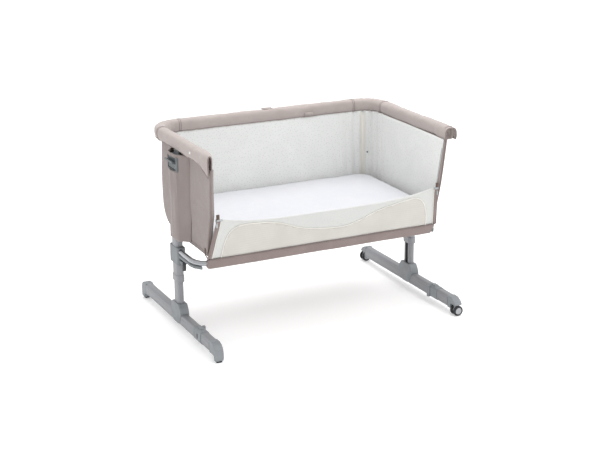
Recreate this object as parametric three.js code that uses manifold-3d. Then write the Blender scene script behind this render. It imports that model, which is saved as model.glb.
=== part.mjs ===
// Bedside bassinet: a padded tub with a drop-down front, on two telescopic legs with foot bars.
// Millimetres, +Z up. X runs along the crib, +Y points to its closed back, and the origin is on
// the floor below the middle of the stand. Every piece of one side is drawn on the +X side; the
// other side is the same group mirrored.
import * as THREE from "three";
import { mergeVertices } from "three/addons/utils/BufferGeometryUtils.js";
import Module from "manifold-3d";

const wasm = await Module();
wasm.setup();

// ---------------------------------------------------------------- driving sizes
const LENGTH = 935; // over the outer faces of the two foot assemblies
const DEPTH = 690; // foot bars, front tip to back tip
const RAIL_TOP = 669; // top of the padded rail with the legs fully in
const CLEAR = 0.3; // between pieces that touch
const SLIDE = 0.6; // each side, between the telescoping tubes
const RUN = 0.35; // each side, round a pin that turns
const ARC = 3; // facets in a quarter turn

// Foot bars: hollow section, end caps, pads and casters.
const BAR_W = 30;
const BAR_H = 42;
const BAR_R = 9;
const BAR_WALL = 2;
const BAR_UNDER = 20; // floor to the bar's underside
const BAR_LINE = 1; // depth of the lines along the bar's sides
const PROUD = 1.5; // moulded collars stand out from the bar by this much
const CAP_L = 53; // front end cap
const BACK_CAP_L = 45;
const SPIGOT_L = 30; // plugs of caps and hinges inside the bar
const CAP_NOSE_R = 34;
const CAP_BACK_R = 20;
const PAD_H = 4; // rubber pads under the caps
const PAD_FRONT_L = 11.5;
const PAD_BACK_L = 21;
const WHEEL_R = 18;
const WHEEL_W = 10;
const WHEEL_GAP = 11; // between the two wheels of a pair
const WHEEL_HUB_R = 12;
const AXLE_R = 3;

// Fold joint of each foot, with its latch button.
const FOLD_FROM_TIP = 174; // the joint's distance from the front tip
const HINGE_FRONT_L = 51; // swinging block ahead of the joint, and fixed block behind it
const HINGE_BACK_L = 13;
const KNUCKLE_R = 7;
const KNUCKLE_H = 12;
const HINGE_PIN_R = 2.5;
const BUTTON_W = 10;
const BUTTON_H = 18;
const BUTTON_T = 6;
const BUTTON_BACK = 23; // button's middle ahead of the joint
const BUTTON_TRAVEL = 3;

// Telescopic legs.
const LEG_OUT = 1; // leg centre outboard of the bar's centre
const LEG_W = 21; // lower leg, an open channel
const LEG_D = 47;
const LEG_WALL = 1.8;
const LEG_SLOT = 18; // open side of the channel
const LEG_FOOT_UP = 32; // the saddle's top above the bar
const UPRIGHT_WALL = 1.6;
const UPRIGHT_FOOT = 170; // lower end of the upright at the lowest setting
const COLLAR_H = 26;
const COLLAR_SWELL = 3;

// Height lock: a sprung pin through the upright into a row of holes in the leg.
const LOCK_STEP = 25;
const LOCK_UP = 26; // pin above the housing's lower face
const LOCK_R = 3.5;
const LOCK_PIN_L = 12;
const LOCK_REACH = 4.5; // the pin's tip passes the leg's front face by this much
const LOCK_TRAVEL = 6;
const LOCK_PLAY = 0.8; // round the pin in the leg's holes
const LEG_ABOVE_LOCK = 19; // the leg runs on above its highest hole
const LEG_ROOM = 120; // left between the leg and the lever block with the legs fully in, at least

// Housing that carries the front frame tube, with its release latch.
const HOUSING_LOW = 235;
const HOUSING_H = 62;
const HOUSING_SHOULDER = 12.3; // past the upright's front and back
const HOUSING_WALL = 2.4;
const LATCH_W = 12;
const LATCH_L = 28;
const LATCH_EAR = 3;
const LATCH_PIN_R = 1.5;
const LATCH_OUT = 17.5; // latch pivot ahead of the housing
const LATCH_UP = 15;
const RING_UP = 48; // frame tube above the housing's lower face
const RING_R = 9;
const RING_WALL = 1.5;
const RING_OUT = 3; // frame tube centre outboard of the leg's centre
const RING_BEHIND = 6.5; // its centre behind the front wall's plane
const RING_BEND = 60;
const RING_PLUG = 11; // tube inside the housing
const ARM_W = 11; // moulded arm under the tube
const ARM_H = 16;

// Padded rail.
const RAIL_W = 41;
const RAIL_H = 50;
const RAIL_TUBE_R = 11;
const RAIL_TUBE_WALL = 1.5;
const RAIL_TUBE_SHORT = 60; // the tube stops well inside the padded sleeve, whose ends are slack
const RAIL_IN = 20; // rail centre inboard of the leg's centre
const RAIL_BACK = 246;
const RAIL_FRONT = 292; // open front ends of the padded rail
const RAIL_BEND = 75;
const RAIL_SEAM = 67; // side pads run on past their bend by this much

// Fabric tub.
const PANEL_T = 14; // padded end and back walls
const PANEL_GAP = 12; // between an upright and the end wall
const TUB_ABOVE_RING = 24;
const FOLD_Y = 243; // hinge line of the drop-down front
const FOLD_UP = 116; // above the walls' lower edge
const ZIP_UP = 12; // the zip ends above the hinge line
const ZIP_IN = 7; // end wall's front corner behind the hinge line
const ZIP_LEAN = 0.296; // the end wall leans forward above the zip's end and back below it
const FOOT_LEAN = 0.273;
const WALL_T = 5; // low front wall
const WALL_LEAN = 0.281; // its foot is further in by this share of its height
const FLAP_T = 4;
const FLAP_IN = 13; // flap's ends inboard of the end walls
const FLAP_FLARE = 24; // it is longer by this much on each side at its hem
const FLAP_H = 162;
const FLAP_OFF = 5; // off the front wall's plane
const HEM_T = 8;
const HEM_H = 35;
const BOARD_T = 5;
const BOARD_SEAT = 3; // between the board's top and the mattress
const MATTRESS_T = 69;
const MATTRESS_IN = 15; // inboard of the end walls

// Height lever, and the block that carries it.
const LEVER_BELOW_RAIL = 10;
const LEVER_H = 50;
const LEVER_D = 70;
const LEVER_T = 4;
const LEVER_LIP = 17;
const LEVER_SUNK = 8; // plate's inner face inside the upright's outer face
const PIVOT_R = 3;
const PIVOT_DOWN = 8;
const LUG_D = 40; // tongue that joins the block to the rail's tube
const LUG_T = 5;
const LUG_OUT = 8;

// Fabric pocket over the upright, and small fittings.
const POCKET_T = 2;
const POCKET_UP = 6; // above the walls' lower edge
const POCKET_FRONT = 75;
const POCKET_BACK = 70;
const LOOP_TURN = 1.2; // the webbing loop sits this far round the frame's bend, in radians
const LOOP_W = 14;
const LOOP_PLAY = 2.4;
const WEBBING_T = 1.6;

// ---------------------------------------------------------------- places worked out from them
const BAR_X = LENGTH / 2 - PROUD - BAR_W / 2;
const BAR_Z = BAR_UNDER + BAR_H / 2;
const BAR_TOP = BAR_UNDER + BAR_H;
const TIP = DEPTH / 2;
const FRONT_CAP_Y = -TIP + CAP_L;
const BACK_CAP_Y = TIP - BACK_CAP_L;
const WHEEL_TOP = 2 * WHEEL_R;
const AXLE_Z = WHEEL_R;

const FOLD_JOINT_Y = -TIP + FOLD_FROM_TIP;
const HINGE_FRONT = FOLD_JOINT_Y - HINGE_FRONT_L;
const HINGE_BACK = FOLD_JOINT_Y + HINGE_BACK_L;
const PIVOT_X = BAR_X - BAR_W / 2 - PROUD; // the hinge's axis, upright on the inner face
const KNUCKLES = [BAR_UNDER, BAR_UNDER + KNUCKLE_H, BAR_TOP - KNUCKLE_H, BAR_TOP];
const BUTTON_Y = FOLD_JOINT_Y - BUTTON_BACK;

const LEG_X = BAR_X + LEG_OUT;
const LEG_R = LEG_W / 2 - 1;
const LEG_LOW = BAR_TOP + 4;
const BRACKET_TOP = BAR_TOP + LEG_FOOT_UP;
const BRACKET_HALF = BAR_W / 2 + PROUD - 0.25;
const UPRIGHT_W = LEG_W + 2 * (SLIDE + UPRIGHT_WALL);
const UPRIGHT_D = LEG_D + 2 * (SLIDE + UPRIGHT_WALL);
const UPRIGHT_R = LEG_R + SLIDE + UPRIGHT_WALL;

const HOUSING_HIGH = HOUSING_LOW + HOUSING_H;
const HOUSING_OUT = UPRIGHT_W / 2 + HOUSING_WALL;
const HOUSING_D = UPRIGHT_D + 2 * HOUSING_SHOULDER;
const LOCK_Z = HOUSING_LOW + LOCK_UP;
const LOCK_TIP = -LEG_D / 2 + LOCK_REACH;
const LATCH_X0 = LEG_X - LATCH_W / 2;
const LATCH_X1 = LEG_X + LATCH_W / 2;
const LATCH_PIVOT_Z = HOUSING_LOW + LATCH_UP;
const LATCH_PIVOT_Y = -HOUSING_D / 2 - LATCH_OUT;

const RING_X = LEG_X + RING_OUT;
const RING_Z = HOUSING_LOW + RING_UP;
const TUB_FLOOR = RING_Z + RING_R + TUB_ABOVE_RING; // lower edge of the walls
const FOLD_Z = TUB_FLOOR + FOLD_UP;
const ZIP_Z = FOLD_Z + ZIP_UP;
const FLAP_LOW = FOLD_Z - FLAP_H;
const HEM_TOP = FLAP_LOW + HEM_H;
const RING_FRONT = -wallY(RING_Z) - RING_BEHIND;

const RAIL_X = LEG_X - RAIL_IN;
const RAIL_Z = RAIL_TOP - RAIL_H / 2;
const RAIL_UNDER = RAIL_TOP - RAIL_H;
const SEAM_X = RAIL_X - RAIL_BEND - RAIL_SEAM;
const LEVER_TOP = RAIL_UNDER - LEVER_BELOW_RAIL;
const LEVER_LOW = LEVER_TOP - LEVER_H;
const LOCK_ROOM = LEVER_LOW - LEG_ROOM - LEG_ABOVE_LOCK - LOCK_Z;
const LOCK_HOLES = 1 + Math.floor(LOCK_ROOM / LOCK_STEP);
const LEG_TOP = LOCK_Z + (LOCK_HOLES - 1) * LOCK_STEP + LEG_ABOVE_LOCK;
const LEVER_X = LEG_X + UPRIGHT_W / 2 - LEVER_SUNK;
const LEVER_PIVOT_X = LEVER_X + LEVER_T / 2;
const LEVER_PIVOT_Z = LEVER_TOP - PIVOT_DOWN;
const LIP_Z = LEVER_LOW + 0.55 * LEVER_H;

const WALL_TOP = RAIL_UNDER - 2;
const PANEL_OUT = LEG_X - UPRIGHT_W / 2 - PANEL_GAP;
const PANEL_IN = PANEL_OUT - PANEL_T;
const BACK_WALL_Y = RAIL_BACK - PANEL_T / 2;
const INNER_BACK = BACK_WALL_Y - PANEL_T / 2;
const INNER_BEND = RAIL_BEND - (RAIL_X - PANEL_IN);
const MATTRESS_LOW = TUB_FLOOR + BOARD_T + BOARD_SEAT;
const MATTRESS_TOP = MATTRESS_LOW + MATTRESS_T;
const FLAP_HALF = PANEL_IN - FLAP_IN;
const FLARE_AT_HEM = FLAP_HALF + FLAP_FLARE * ((FOLD_Z - HEM_TOP) / FLAP_H);
const POCKET_LOW = TUB_FLOOR + POCKET_UP;

// The front wall's inner plane at a height: its foot is further back than the hinge line.
function wallY(z) {
  return -(FOLD_Y - 3) + WALL_LEAN * (FOLD_Z - 2 - z);
}

// ---------------------------------------------------------------- materials
function material(color, roughness, metalness = 0) {
  return new THREE.MeshStandardMaterial({ color, roughness, metalness });
}
const paintedSteel = material(0x96969b, 0.45, 0.3);
const greyPlastic = material(0x7d8285, 0.55);
const darkPlastic = material(0x3a3a3f, 0.6);
const slatePlastic = material(0x697075, 0.5);
const bareSteel = material(0xc8c9cb, 0.25, 0.9);
const rubber = material(0x2b2c2f, 0.85);
const taupeFabric = material(0xa0968f, 0.95);
const mauveBinding = material(0xa5938f, 0.9);
const whiteLining = material(0xe6e9e7, 0.95);
const whiteSheet = material(0xecedf3, 0.95);
const meshFabric = material(0xdbd8d2, 0.95);
const brownWebbing = material(0x6a5650, 0.9);

// ---------------------------------------------------------------- solids
// A closed three.js geometry as a manifold solid, ready to be joined or cut.
function solid(geometry) {
  const bare = geometry.index ? geometry.toNonIndexed() : geometry.clone();
  bare.deleteAttribute("normal");
  bare.deleteAttribute("uv");
  const merged = mergeVertices(bare, 1e-4);
  return new wasm.Manifold(
    new wasm.Mesh({
      numProp: 3,
      vertProperties: merged.attributes.position.array,
      triVerts: new Uint32Array(merged.index.array),
    }),
  );
}

function join(first, ...others) {
  return others.reduce((sum, other) => sum.add(other), first);
}

function cut(first, ...others) {
  return others.reduce((rest, other) => rest.subtract(other), first);
}

// The named mesh of a finished solid.
function piece(name, body, look) {
  const { numProp, vertProperties, triVerts } = body.getMesh();
  const points = new Float32Array((vertProperties.length / numProp) * 3);
  for (let i = 0; i < points.length / 3; i++) {
    points.set(vertProperties.subarray(i * numProp, i * numProp + 3), i * 3);
  }
  const geometry = new THREE.BufferGeometry();
  geometry.setAttribute("position", new THREE.BufferAttribute(points, 3));
  geometry.setIndex(new THREE.BufferAttribute(new Uint32Array(triVerts), 1));
  geometry.computeVertexNormals();
  const mesh = new THREE.Mesh(geometry, look);
  mesh.name = name;
  return mesh;
}

function extrude(outline, length, bevel) {
  const geometry = new THREE.ExtrudeGeometry(outline, {
    depth: length - 2 * bevel,
    bevelEnabled: bevel > 0,
    bevelThickness: bevel,
    bevelSize: bevel,
    bevelOffset: -bevel,
    bevelSegments: 1,
  });
  return geometry.translate(0, 0, bevel);
}

// Prisms of an outline drawn in (Y, Z), (X, Z) or (X, Y), from one coordinate to another.
function prismX(outline, from, to, bevel = 0) {
  const turn = new THREE.Matrix4().makeBasis(
    new THREE.Vector3(0, 1, 0),
    new THREE.Vector3(0, 0, 1),
    new THREE.Vector3(1, 0, 0),
  );
  const geometry = extrude(outline, to - from, bevel).applyMatrix4(turn);
  return solid(geometry.translate(from, 0, 0));
}

function prismY(outline, from, to, bevel = 0) {
  const geometry = extrude(outline, to - from, bevel).rotateX(Math.PI / 2);
  return solid(geometry.translate(0, to, 0));
}

function prismZ(outline, from, to, bevel = 0) {
  return solid(extrude(outline, to - from, bevel).translate(0, 0, from));
}

function box(x0, x1, y0, y1, z0, z1) {
  const geometry = new THREE.BoxGeometry(x1 - x0, y1 - y0, z1 - z0);
  return solid(geometry.translate((x0 + x1) / 2, (y0 + y1) / 2, (z0 + z1) / 2));
}

// A round rod of a given radius from one point to another.
function rod(radius, from, to, facets = 4 * ARC) {
  const along = to.clone().sub(from);
  const geometry = new THREE.CylinderGeometry(radius, radius, along.length(), facets);
  const turn = new THREE.Quaternion().setFromUnitVectors(
    new THREE.Vector3(0, 1, 0),
    along.clone().normalize(),
  );
  const middle = from.clone().add(to).multiplyScalar(0.5);
  return solid(geometry.applyQuaternion(turn).translate(middle.x, middle.y, middle.z));
}

function at(x, y, z) {
  return new THREE.Vector3(x, y, z);
}

// ---------------------------------------------------------------- outlines
// Points of an arc; the angles are in quarter turns from the outline's first axis.
function arc(cx, cy, radius, from, to, facets = ARC) {
  return Array.from({ length: facets + 1 }, (_, i) => {
    const angle = (Math.PI / 2) * (from + ((to - from) * i) / facets);
    return [cx + radius * Math.cos(angle), cy + radius * Math.sin(angle)];
  });
}

function rectPoints(width, height, radius, cx = 0, cy = 0) {
  const x = width / 2 - radius;
  const y = height / 2 - radius;
  return [
    ...arc(cx + x, cy - y, radius, -1, 0),
    ...arc(cx + x, cy + y, radius, 0, 1),
    ...arc(cx - x, cy + y, radius, 1, 2),
    ...arc(cx - x, cy - y, radius, 2, 3),
  ];
}

function circlePoints(radius, cx = 0, cy = 0) {
  return arc(cx, cy, radius, 0, 4, 4 * ARC).slice(1);
}

function shape(points, ...holes) {
  const vectors = (list) => list.map(([u, v]) => new THREE.Vector2(u, v));
  const outline = new THREE.Shape(vectors(points));
  outline.holes = holes.map((hole) => new THREE.Path(vectors(hole)));
  return outline;
}

function polygon(...points) {
  return shape(points);
}

function roundedRect(width, height, radius, cx = 0, cy = 0) {
  return shape(rectPoints(width, height, radius, cx, cy));
}

function ring(outer, inner) {
  return shape(circlePoints(outer), circlePoints(inner));
}

// The lower leg's section: a rounded channel, open on its inner side.
function channel() {
  const half = LEG_SLOT / 2;
  const corner = (inset, side) => {
    const x = LEG_W / 2 - LEG_R;
    const y = side * (LEG_D / 2 - LEG_R);
    const radius = LEG_R - inset;
    const inner = arc(LEG_X - x, y, radius, 2, 2 + side * -1);
    const outer = arc(LEG_X + x, y, radius, 2 + side * -1, 2 - side * 2);
    return [...inner, ...outer];
  };
  const face = LEG_X - LEG_W / 2;
  const around = (inset) => [
    [face + inset, -half],
    ...corner(inset, -1),
    ...corner(inset, 1).reverse(),
    [face + inset, half],
  ];
  return shape([...around(0), ...around(LEG_WALL).reverse()]);
}

// The foot bar's section, with a shallow line along each edge of both side faces.
function barSection() {
  const x = BAR_W / 2;
  const line = BAR_H / 2 - BAR_R - 2.5;
  const deep = BAR_LINE;
  const half = 1.2 * BAR_LINE;
  const groove = (side, level) => [
    [BAR_X + side * x, BAR_Z + level - side * half],
    [BAR_X + side * (x - deep), BAR_Z + level],
    [BAR_X + side * x, BAR_Z + level + side * half],
  ];
  const corners = rectPoints(BAR_W, BAR_H, BAR_R, BAR_X, BAR_Z);
  const turn = ARC + 1;
  const points = [
    ...corners.slice(0, turn),
    ...groove(1, -line),
    ...groove(1, line),
    ...corners.slice(turn, 3 * turn),
    ...groove(-1, line),
    ...groove(-1, -line),
    ...corners.slice(3 * turn),
  ];
  const hollow = 2 * BAR_WALL;
  const inside = rectPoints(BAR_W - hollow, BAR_H - hollow, BAR_R - BAR_WALL, BAR_X, BAR_Z);
  return shape(points, inside);
}

// ---------------------------------------------------------------- bent tubes
// A route of straight runs joined by bends of one radius, with a station only where it turns.
class BentRoute extends THREE.Curve {
  constructor(corners, radius, facets) {
    super();
    const last = corners.length - 1;
    const heading = (i) => corners[i + 1].clone().sub(corners[i]).normalize();
    this.stations = [{ point: corners[0], tangent: heading(0) }];
    for (let i = 1; i < last; i++) {
      const into = heading(i - 1);
      const out = heading(i);
      const turn = into.angleTo(out);
      const inward = out.clone().addScaledVector(into, -into.dot(out)).normalize();
      const centre = corners[i].clone();
      centre.addScaledVector(into, -radius * Math.tan(turn / 2));
      centre.addScaledVector(inward, radius);
      for (let k = 0; k <= facets; k++) {
        const angle = (turn * k) / facets;
        const point = centre.clone().addScaledVector(inward, -radius * Math.cos(angle));
        point.addScaledVector(into, radius * Math.sin(angle));
        const tangent = into.clone().multiplyScalar(Math.cos(angle));
        tangent.addScaledVector(inward, Math.sin(angle));
        this.stations.push({ point, tangent });
      }
    }
    this.stations.push({ point: corners[last], tangent: heading(last - 1) });
  }

  station(share) {
    return this.stations[Math.round(share * (this.stations.length - 1))];
  }

  getPoint(share, target = new THREE.Vector3()) {
    return target.copy(this.station(share).point);
  }

  getPointAt(share, target) {
    return this.getPoint(share, target);
  }

  getTangentAt(share, target = new THREE.Vector3()) {
    return target.copy(this.station(share).tangent);
  }
}

// On a level route the outline's first axis points down and its second lies level.
function sweep(outline, corners, radius, facets = ARC + 1) {
  const route = new BentRoute(corners, radius, facets);
  const steps = route.stations.length - 1;
  const options = { steps, extrudePath: route };
  return solid(new THREE.ExtrudeGeometry(outline, options));
}

// ---------------------------------------------------------------- foot bars
function barRun(from, to) {
  return prismY(barSection(), from, to);
}

// A plug that fits inside the hollow bar.
function spigot(from, to) {
  const loose = BAR_WALL + CLEAR;
  const section = roundedRect(BAR_W - 2 * loose, BAR_H - 2 * loose, BAR_R - loose, BAR_X, BAR_Z);
  return prismY(section, from, to);
}

function sideOf(outline) {
  return prismX(outline, BAR_X - BAR_W / 2, BAR_X + BAR_W / 2, 2);
}

// Left front cap: its curved nose comes down to a pad on the floor.
function footCap() {
  const start = FRONT_CAP_Y - CLEAR;
  const nose = CAP_NOSE_R;
  const outline = polygon(
    [start, BAR_UNDER],
    [start, BAR_TOP],
    ...arc(-TIP + nose, BAR_TOP - nose, nose, 1, 2),
    [-TIP, PAD_H + 8],
    [-TIP + 3, PAD_H + CLEAR],
    [-TIP + 13, PAD_H + CLEAR],
    [-TIP + 17, BAR_UNDER],
  );
  return join(sideOf(outline), spigot(FRONT_CAP_Y - 5, FRONT_CAP_Y + SPIGOT_L));
}

function footPad(y0, y1) {
  const outline = roundedRect(BAR_W - 10, y1 - y0, 3, BAR_X, (y0 + y1) / 2);
  return prismZ(outline, 0, PAD_H, 0.8);
}

function backCap() {
  const round = CAP_BACK_R;
  const outline = polygon(
    [BACK_CAP_Y + CLEAR, BAR_UNDER],
    [TIP - 28, BAR_UNDER],
    [TIP - 24, PAD_H + CLEAR],
    [TIP - 4, PAD_H + CLEAR],
    [TIP, PAD_H + 8],
    ...arc(TIP - round, BAR_TOP - round, round, 0, 1),
    [BACK_CAP_Y + CLEAR, BAR_TOP],
  );
  return join(sideOf(outline), spigot(BACK_CAP_Y - SPIGOT_L, BACK_CAP_Y + 5));
}

// A caster cap: a sloping hood over a pair of wheels, with a web between them for the axle.
function casterCap(direction) {
  const tip = TIP - 4;
  const start = direction < 0 ? -FRONT_CAP_Y : BACK_CAP_Y;
  const inner = TIP - 2 * WHEEL_W - WHEEL_GAP - 4;
  const hoodLow = WHEEL_TOP + 2;
  const outline = polygon(
    [start + CLEAR, BAR_UNDER],
    [inner, BAR_UNDER],
    [inner, hoodLow],
    [tip, hoodLow],
    [tip, hoodLow + 4],
    [tip - 5, hoodLow + 12],
    [tip - 14, BAR_TOP - 6],
    [tip - 26, BAR_TOP],
    [start + CLEAR, BAR_TOP],
  );
  const hood = sideOf(outline);
  const webFrom = TIP - WHEEL_W - WHEEL_GAP + 1;
  const webTo = TIP - WHEEL_W - 1;
  const web = box(BAR_X - 9, BAR_X + 9, webFrom, webTo, AXLE_Z - 9, hoodLow + 6);
  const bore = rod(AXLE_R + CLEAR, at(BAR_X, webFrom - 1, AXLE_Z), at(BAR_X, webTo + 1, AXLE_Z));
  const plug = spigot(start - SPIGOT_L, start + 5);
  const backward = cut(join(hood, web, plug), bore);
  return direction > 0 ? backward : mirrorY(backward);
}

function mirrorY(body) {
  const { numProp, vertProperties, triVerts } = body.getMesh();
  const points = new Float32Array(vertProperties);
  for (let i = 1; i < points.length; i += numProp) points[i] = -points[i];
  const flipped = new Uint32Array(triVerts);
  for (let i = 0; i < flipped.length; i += 3) {
    [flipped[i], flipped[i + 1]] = [flipped[i + 1], flipped[i]];
  }
  return new wasm.Manifold(new wasm.Mesh({ numProp, vertProperties: points, triVerts: flipped }));
}

function wheel(y0, y1) {
  const r = WHEEL_R;
  const edge = 2;
  const hub = WHEEL_HUB_R; // the recessed face of the wheel
  const dish = 1;
  const w = y1 - y0;
  const bore = AXLE_R + RUN;
  const profile = [
    [bore, dish],
    [hub, dish],
    [hub, 0],
    [r - edge, 0],
    [r, edge],
    [r, w - edge],
    [r - edge, w],
    [hub, w],
    [hub, w - dish],
    [bore, w - dish],
    [bore, dish],
  ];
  const points = profile.map(([x, y]) => new THREE.Vector2(x, y));
  const geometry = new THREE.LatheGeometry(points, 4 * ARC);
  return solid(geometry.translate(BAR_X, y0, AXLE_Z));
}

function axle(direction) {
  const outer = TIP - 1.5;
  const inner = TIP - 2 * WHEEL_W - WHEEL_GAP + 1.5;
  const from = at(BAR_X, direction * inner, AXLE_Z);
  const to = at(BAR_X, direction * outer, AXLE_Z);
  return rod(AXLE_R, from, to);
}

// ---------------------------------------------------------------- fold joint of the foot
function collar(from, to) {
  const grow = 2 * PROUD;
  const section = roundedRect(BAR_W + grow, BAR_H + grow, BAR_R + PROUD, BAR_X, BAR_Z);
  return prismY(section, from, to, 0.6);
}

function upright(radius, from, to) {
  return rod(radius, at(PIVOT_X, FOLD_JOINT_Y, from), at(PIVOT_X, FOLD_JOINT_Y, to));
}

function hingeFixed() {
  const block = join(
    collar(FOLD_JOINT_Y + CLEAR, HINGE_BACK - CLEAR),
    spigot(HINGE_BACK - 5, HINGE_BACK + SPIGOT_L),
    upright(KNUCKLE_R, KNUCKLES[0], KNUCKLES[1]),
    upright(KNUCKLE_R, KNUCKLES[2], KNUCKLES[3]),
  );
  const room = upright(KNUCKLE_R + RUN, KNUCKLES[1], KNUCKLES[2]);
  return cut(block, room, upright(HINGE_PIN_R + RUN, 0, RAIL_TOP));
}

function buttonOutline(grow) {
  const w = BUTTON_W + 2 * grow;
  const h = BUTTON_H + 2 * grow;
  return roundedRect(w, h, w / 2 - 1, BUTTON_Y, BAR_Z);
}

function hingeSwing() {
  const block = join(
    collar(HINGE_FRONT, FOLD_JOINT_Y - CLEAR),
    spigot(HINGE_FRONT - SPIGOT_L, HINGE_FRONT + 5),
    prismX(
      roundedRect(24, 6, 2.5, FOLD_JOINT_Y - 16, BAR_TOP + PROUD),
      BAR_X - BAR_W / 4,
      BAR_X + BAR_W / 4,
    ),
    upright(KNUCKLE_R, KNUCKLES[1] + CLEAR, KNUCKLES[2] - CLEAR),
  );
  const face = LENGTH / 2;
  const pocket = prismX(buttonOutline(RUN), face - BUTTON_T - BUTTON_TRAVEL - 1, face + 1);
  return cut(
    block,
    upright(KNUCKLE_R + RUN, KNUCKLES[0] - 5, KNUCKLES[1]),
    upright(KNUCKLE_R + RUN, KNUCKLES[2], KNUCKLES[3] + 5),
    upright(HINGE_PIN_R + RUN, 0, RAIL_TOP),
    pocket,
  );
}

function latchButton() {
  const face = LENGTH / 2 - 0.5;
  return prismX(buttonOutline(0), face - BUTTON_T, face, 0.8);
}

// ---------------------------------------------------------------- legs
// The saddle that carries the leg on the bar: a shield on either side, and a socket on top.
function legFoot() {
  const neck = LEG_D / 2 + 5;
  const half = [
    [14, BAR_UNDER + 3],
    [28, BAR_UNDER + 6],
    [36, BAR_UNDER + 14],
    [46, BAR_TOP - 4],
    [44, BAR_TOP + 8],
    [38, BRACKET_TOP - 12],
    [neck, BRACKET_TOP],
  ];
  const mirrored = half.map(([y, z]) => [-y, z]).reverse();
  const outline = polygon(...half, ...mirrored);
  const shield = prismX(outline, BAR_X - BRACKET_HALF, BAR_X + BRACKET_HALF, 1.2);
  const grow = 2 * CLEAR;
  const through = roundedRect(BAR_W + grow, BAR_H + grow, BAR_R + CLEAR, BAR_X, BAR_Z);
  const socket = roundedRect(LEG_W + grow, LEG_D + grow, LEG_R + CLEAR, LEG_X, 0);
  return cut(
    shield,
    prismY(through, -60, 60),
    prismZ(socket, LEG_LOW, BRACKET_TOP + 1),
  );
}

function lowerLeg() {
  const tube = prismZ(channel(), LEG_LOW + CLEAR, LEG_TOP);
  const holes = Array.from({ length: LOCK_HOLES }, (_, i) => {
    const z = LOCK_Z + i * LOCK_STEP;
    return rod(LOCK_R + LOCK_PLAY, at(LEG_X, -LEG_D, z), at(LEG_X, -LEG_D / 2 + LEG_R, z));
  });
  return cut(tube, ...holes);
}

function leverSeat() {
  return roundedRect(UPRIGHT_W, LEVER_D + 8, 4, LEG_X - 2, 0);
}

// The upright slides on the lower leg; its lower end is a thicker collar.
function uprightTube() {
  const section = roundedRect(UPRIGHT_W, UPRIGHT_D, UPRIGHT_R, LEG_X, 0);
  const footW = UPRIGHT_W + COLLAR_SWELL;
  const foot = roundedRect(footW, UPRIGHT_D + COLLAR_SWELL, UPRIGHT_R, LEG_X, 0);
  const grow = 2 * SLIDE;
  const inside = roundedRect(LEG_W + grow, LEG_D + grow, LEG_R + SLIDE, LEG_X, 0);
  const body = join(
    prismZ(section, UPRIGHT_FOOT + 5, LEVER_LOW),
    prismZ(foot, UPRIGHT_FOOT, UPRIGHT_FOOT + COLLAR_H, 2),
  );
  const pinHole = rod(LOCK_R + RUN, at(LEG_X, -LEG_D, LOCK_Z), at(LEG_X, 0, LOCK_Z));
  return cut(body, prismZ(inside, UPRIGHT_FOOT - 1, LEVER_LOW + 1), pinHole);
}

function lockPin() {
  return rod(LOCK_R, at(LEG_X, LOCK_TIP - LOCK_PIN_L, LOCK_Z), at(LEG_X, LOCK_TIP, LOCK_Z));
}

// ---------------------------------------------------------------- frame housing
// A flat arm that follows the tube from below, out of the housing and half round the corner.
function frameArm() {
  const outline = roundedRect(ARM_W, ARM_H, 4, RING_R + ARM_W / 2 + CLEAR, 0);
  const start = at(RING_X, -HOUSING_D / 2 + 4, RING_Z);
  const corner = at(RING_X, -RING_FRONT, RING_Z);
  const end = at(RING_X - RING_BEND - 1, -RING_FRONT, RING_Z);
  const reach = RING_X - 0.3 * RING_BEND;
  const beyond = box(0, reach, -DEPTH, 0, 0, RAIL_TOP);
  return cut(sweep(outline, [start, corner, end], RING_BEND), beyond);
}

function frameHousing() {
  const section = roundedRect(2 * HOUSING_OUT, HOUSING_D, 8, LEG_X, 0);
  const body = prismZ(section, HOUSING_LOW, HOUSING_HIGH, 2);
  const ears = [
    [LATCH_X0 - LATCH_EAR - CLEAR, LATCH_X0 - CLEAR],
    [LATCH_X1 + CLEAR, LATCH_X1 + LATCH_EAR + CLEAR],
  ].map(([x0, x1]) =>
    box(x0, x1, LATCH_PIVOT_Y - 4, -HOUSING_D / 2 + 3, LATCH_PIVOT_Z - 5, LATCH_PIVOT_Z + 5),
  );
  const grow = 2 * CLEAR;
  const through = roundedRect(UPRIGHT_W + grow, UPRIGHT_D + grow, UPRIGHT_R, LEG_X, 0);
  const socketY = RING_PLUG + 2 - HOUSING_D / 2;
  const socket = rod(RING_R + CLEAR, at(RING_X, socketY, RING_Z), at(RING_X, -HOUSING_D, RING_Z));
  const pinRoom = rod(
    LOCK_R + RUN,
    at(LEG_X, LOCK_TIP - LOCK_PIN_L - LOCK_TRAVEL - 1, LOCK_Z),
    at(LEG_X, 0, LOCK_Z),
  );
  const slotOutline = roundedRect(3.5, 15, 1.7, HOUSING_D / 2 - 9, LOCK_Z);
  const slot = prismX(slotOutline, LEG_X + HOUSING_OUT - 2, LEG_X + HOUSING_OUT + 2);
  const pivot = rod(
    LATCH_PIN_R + RUN,
    at(LATCH_X0 - 3 * LATCH_EAR, LATCH_PIVOT_Y, LATCH_PIVOT_Z),
    at(LATCH_X1 + 3 * LATCH_EAR, LATCH_PIVOT_Y, LATCH_PIVOT_Z),
  );
  const shell = cut(body, socket);
  const filled = join(shell, frameArm(), ...ears);
  return cut(filled, prismZ(through, HOUSING_LOW - 1, HOUSING_HIGH + 1), pinRoom, slot, pivot);
}

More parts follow.
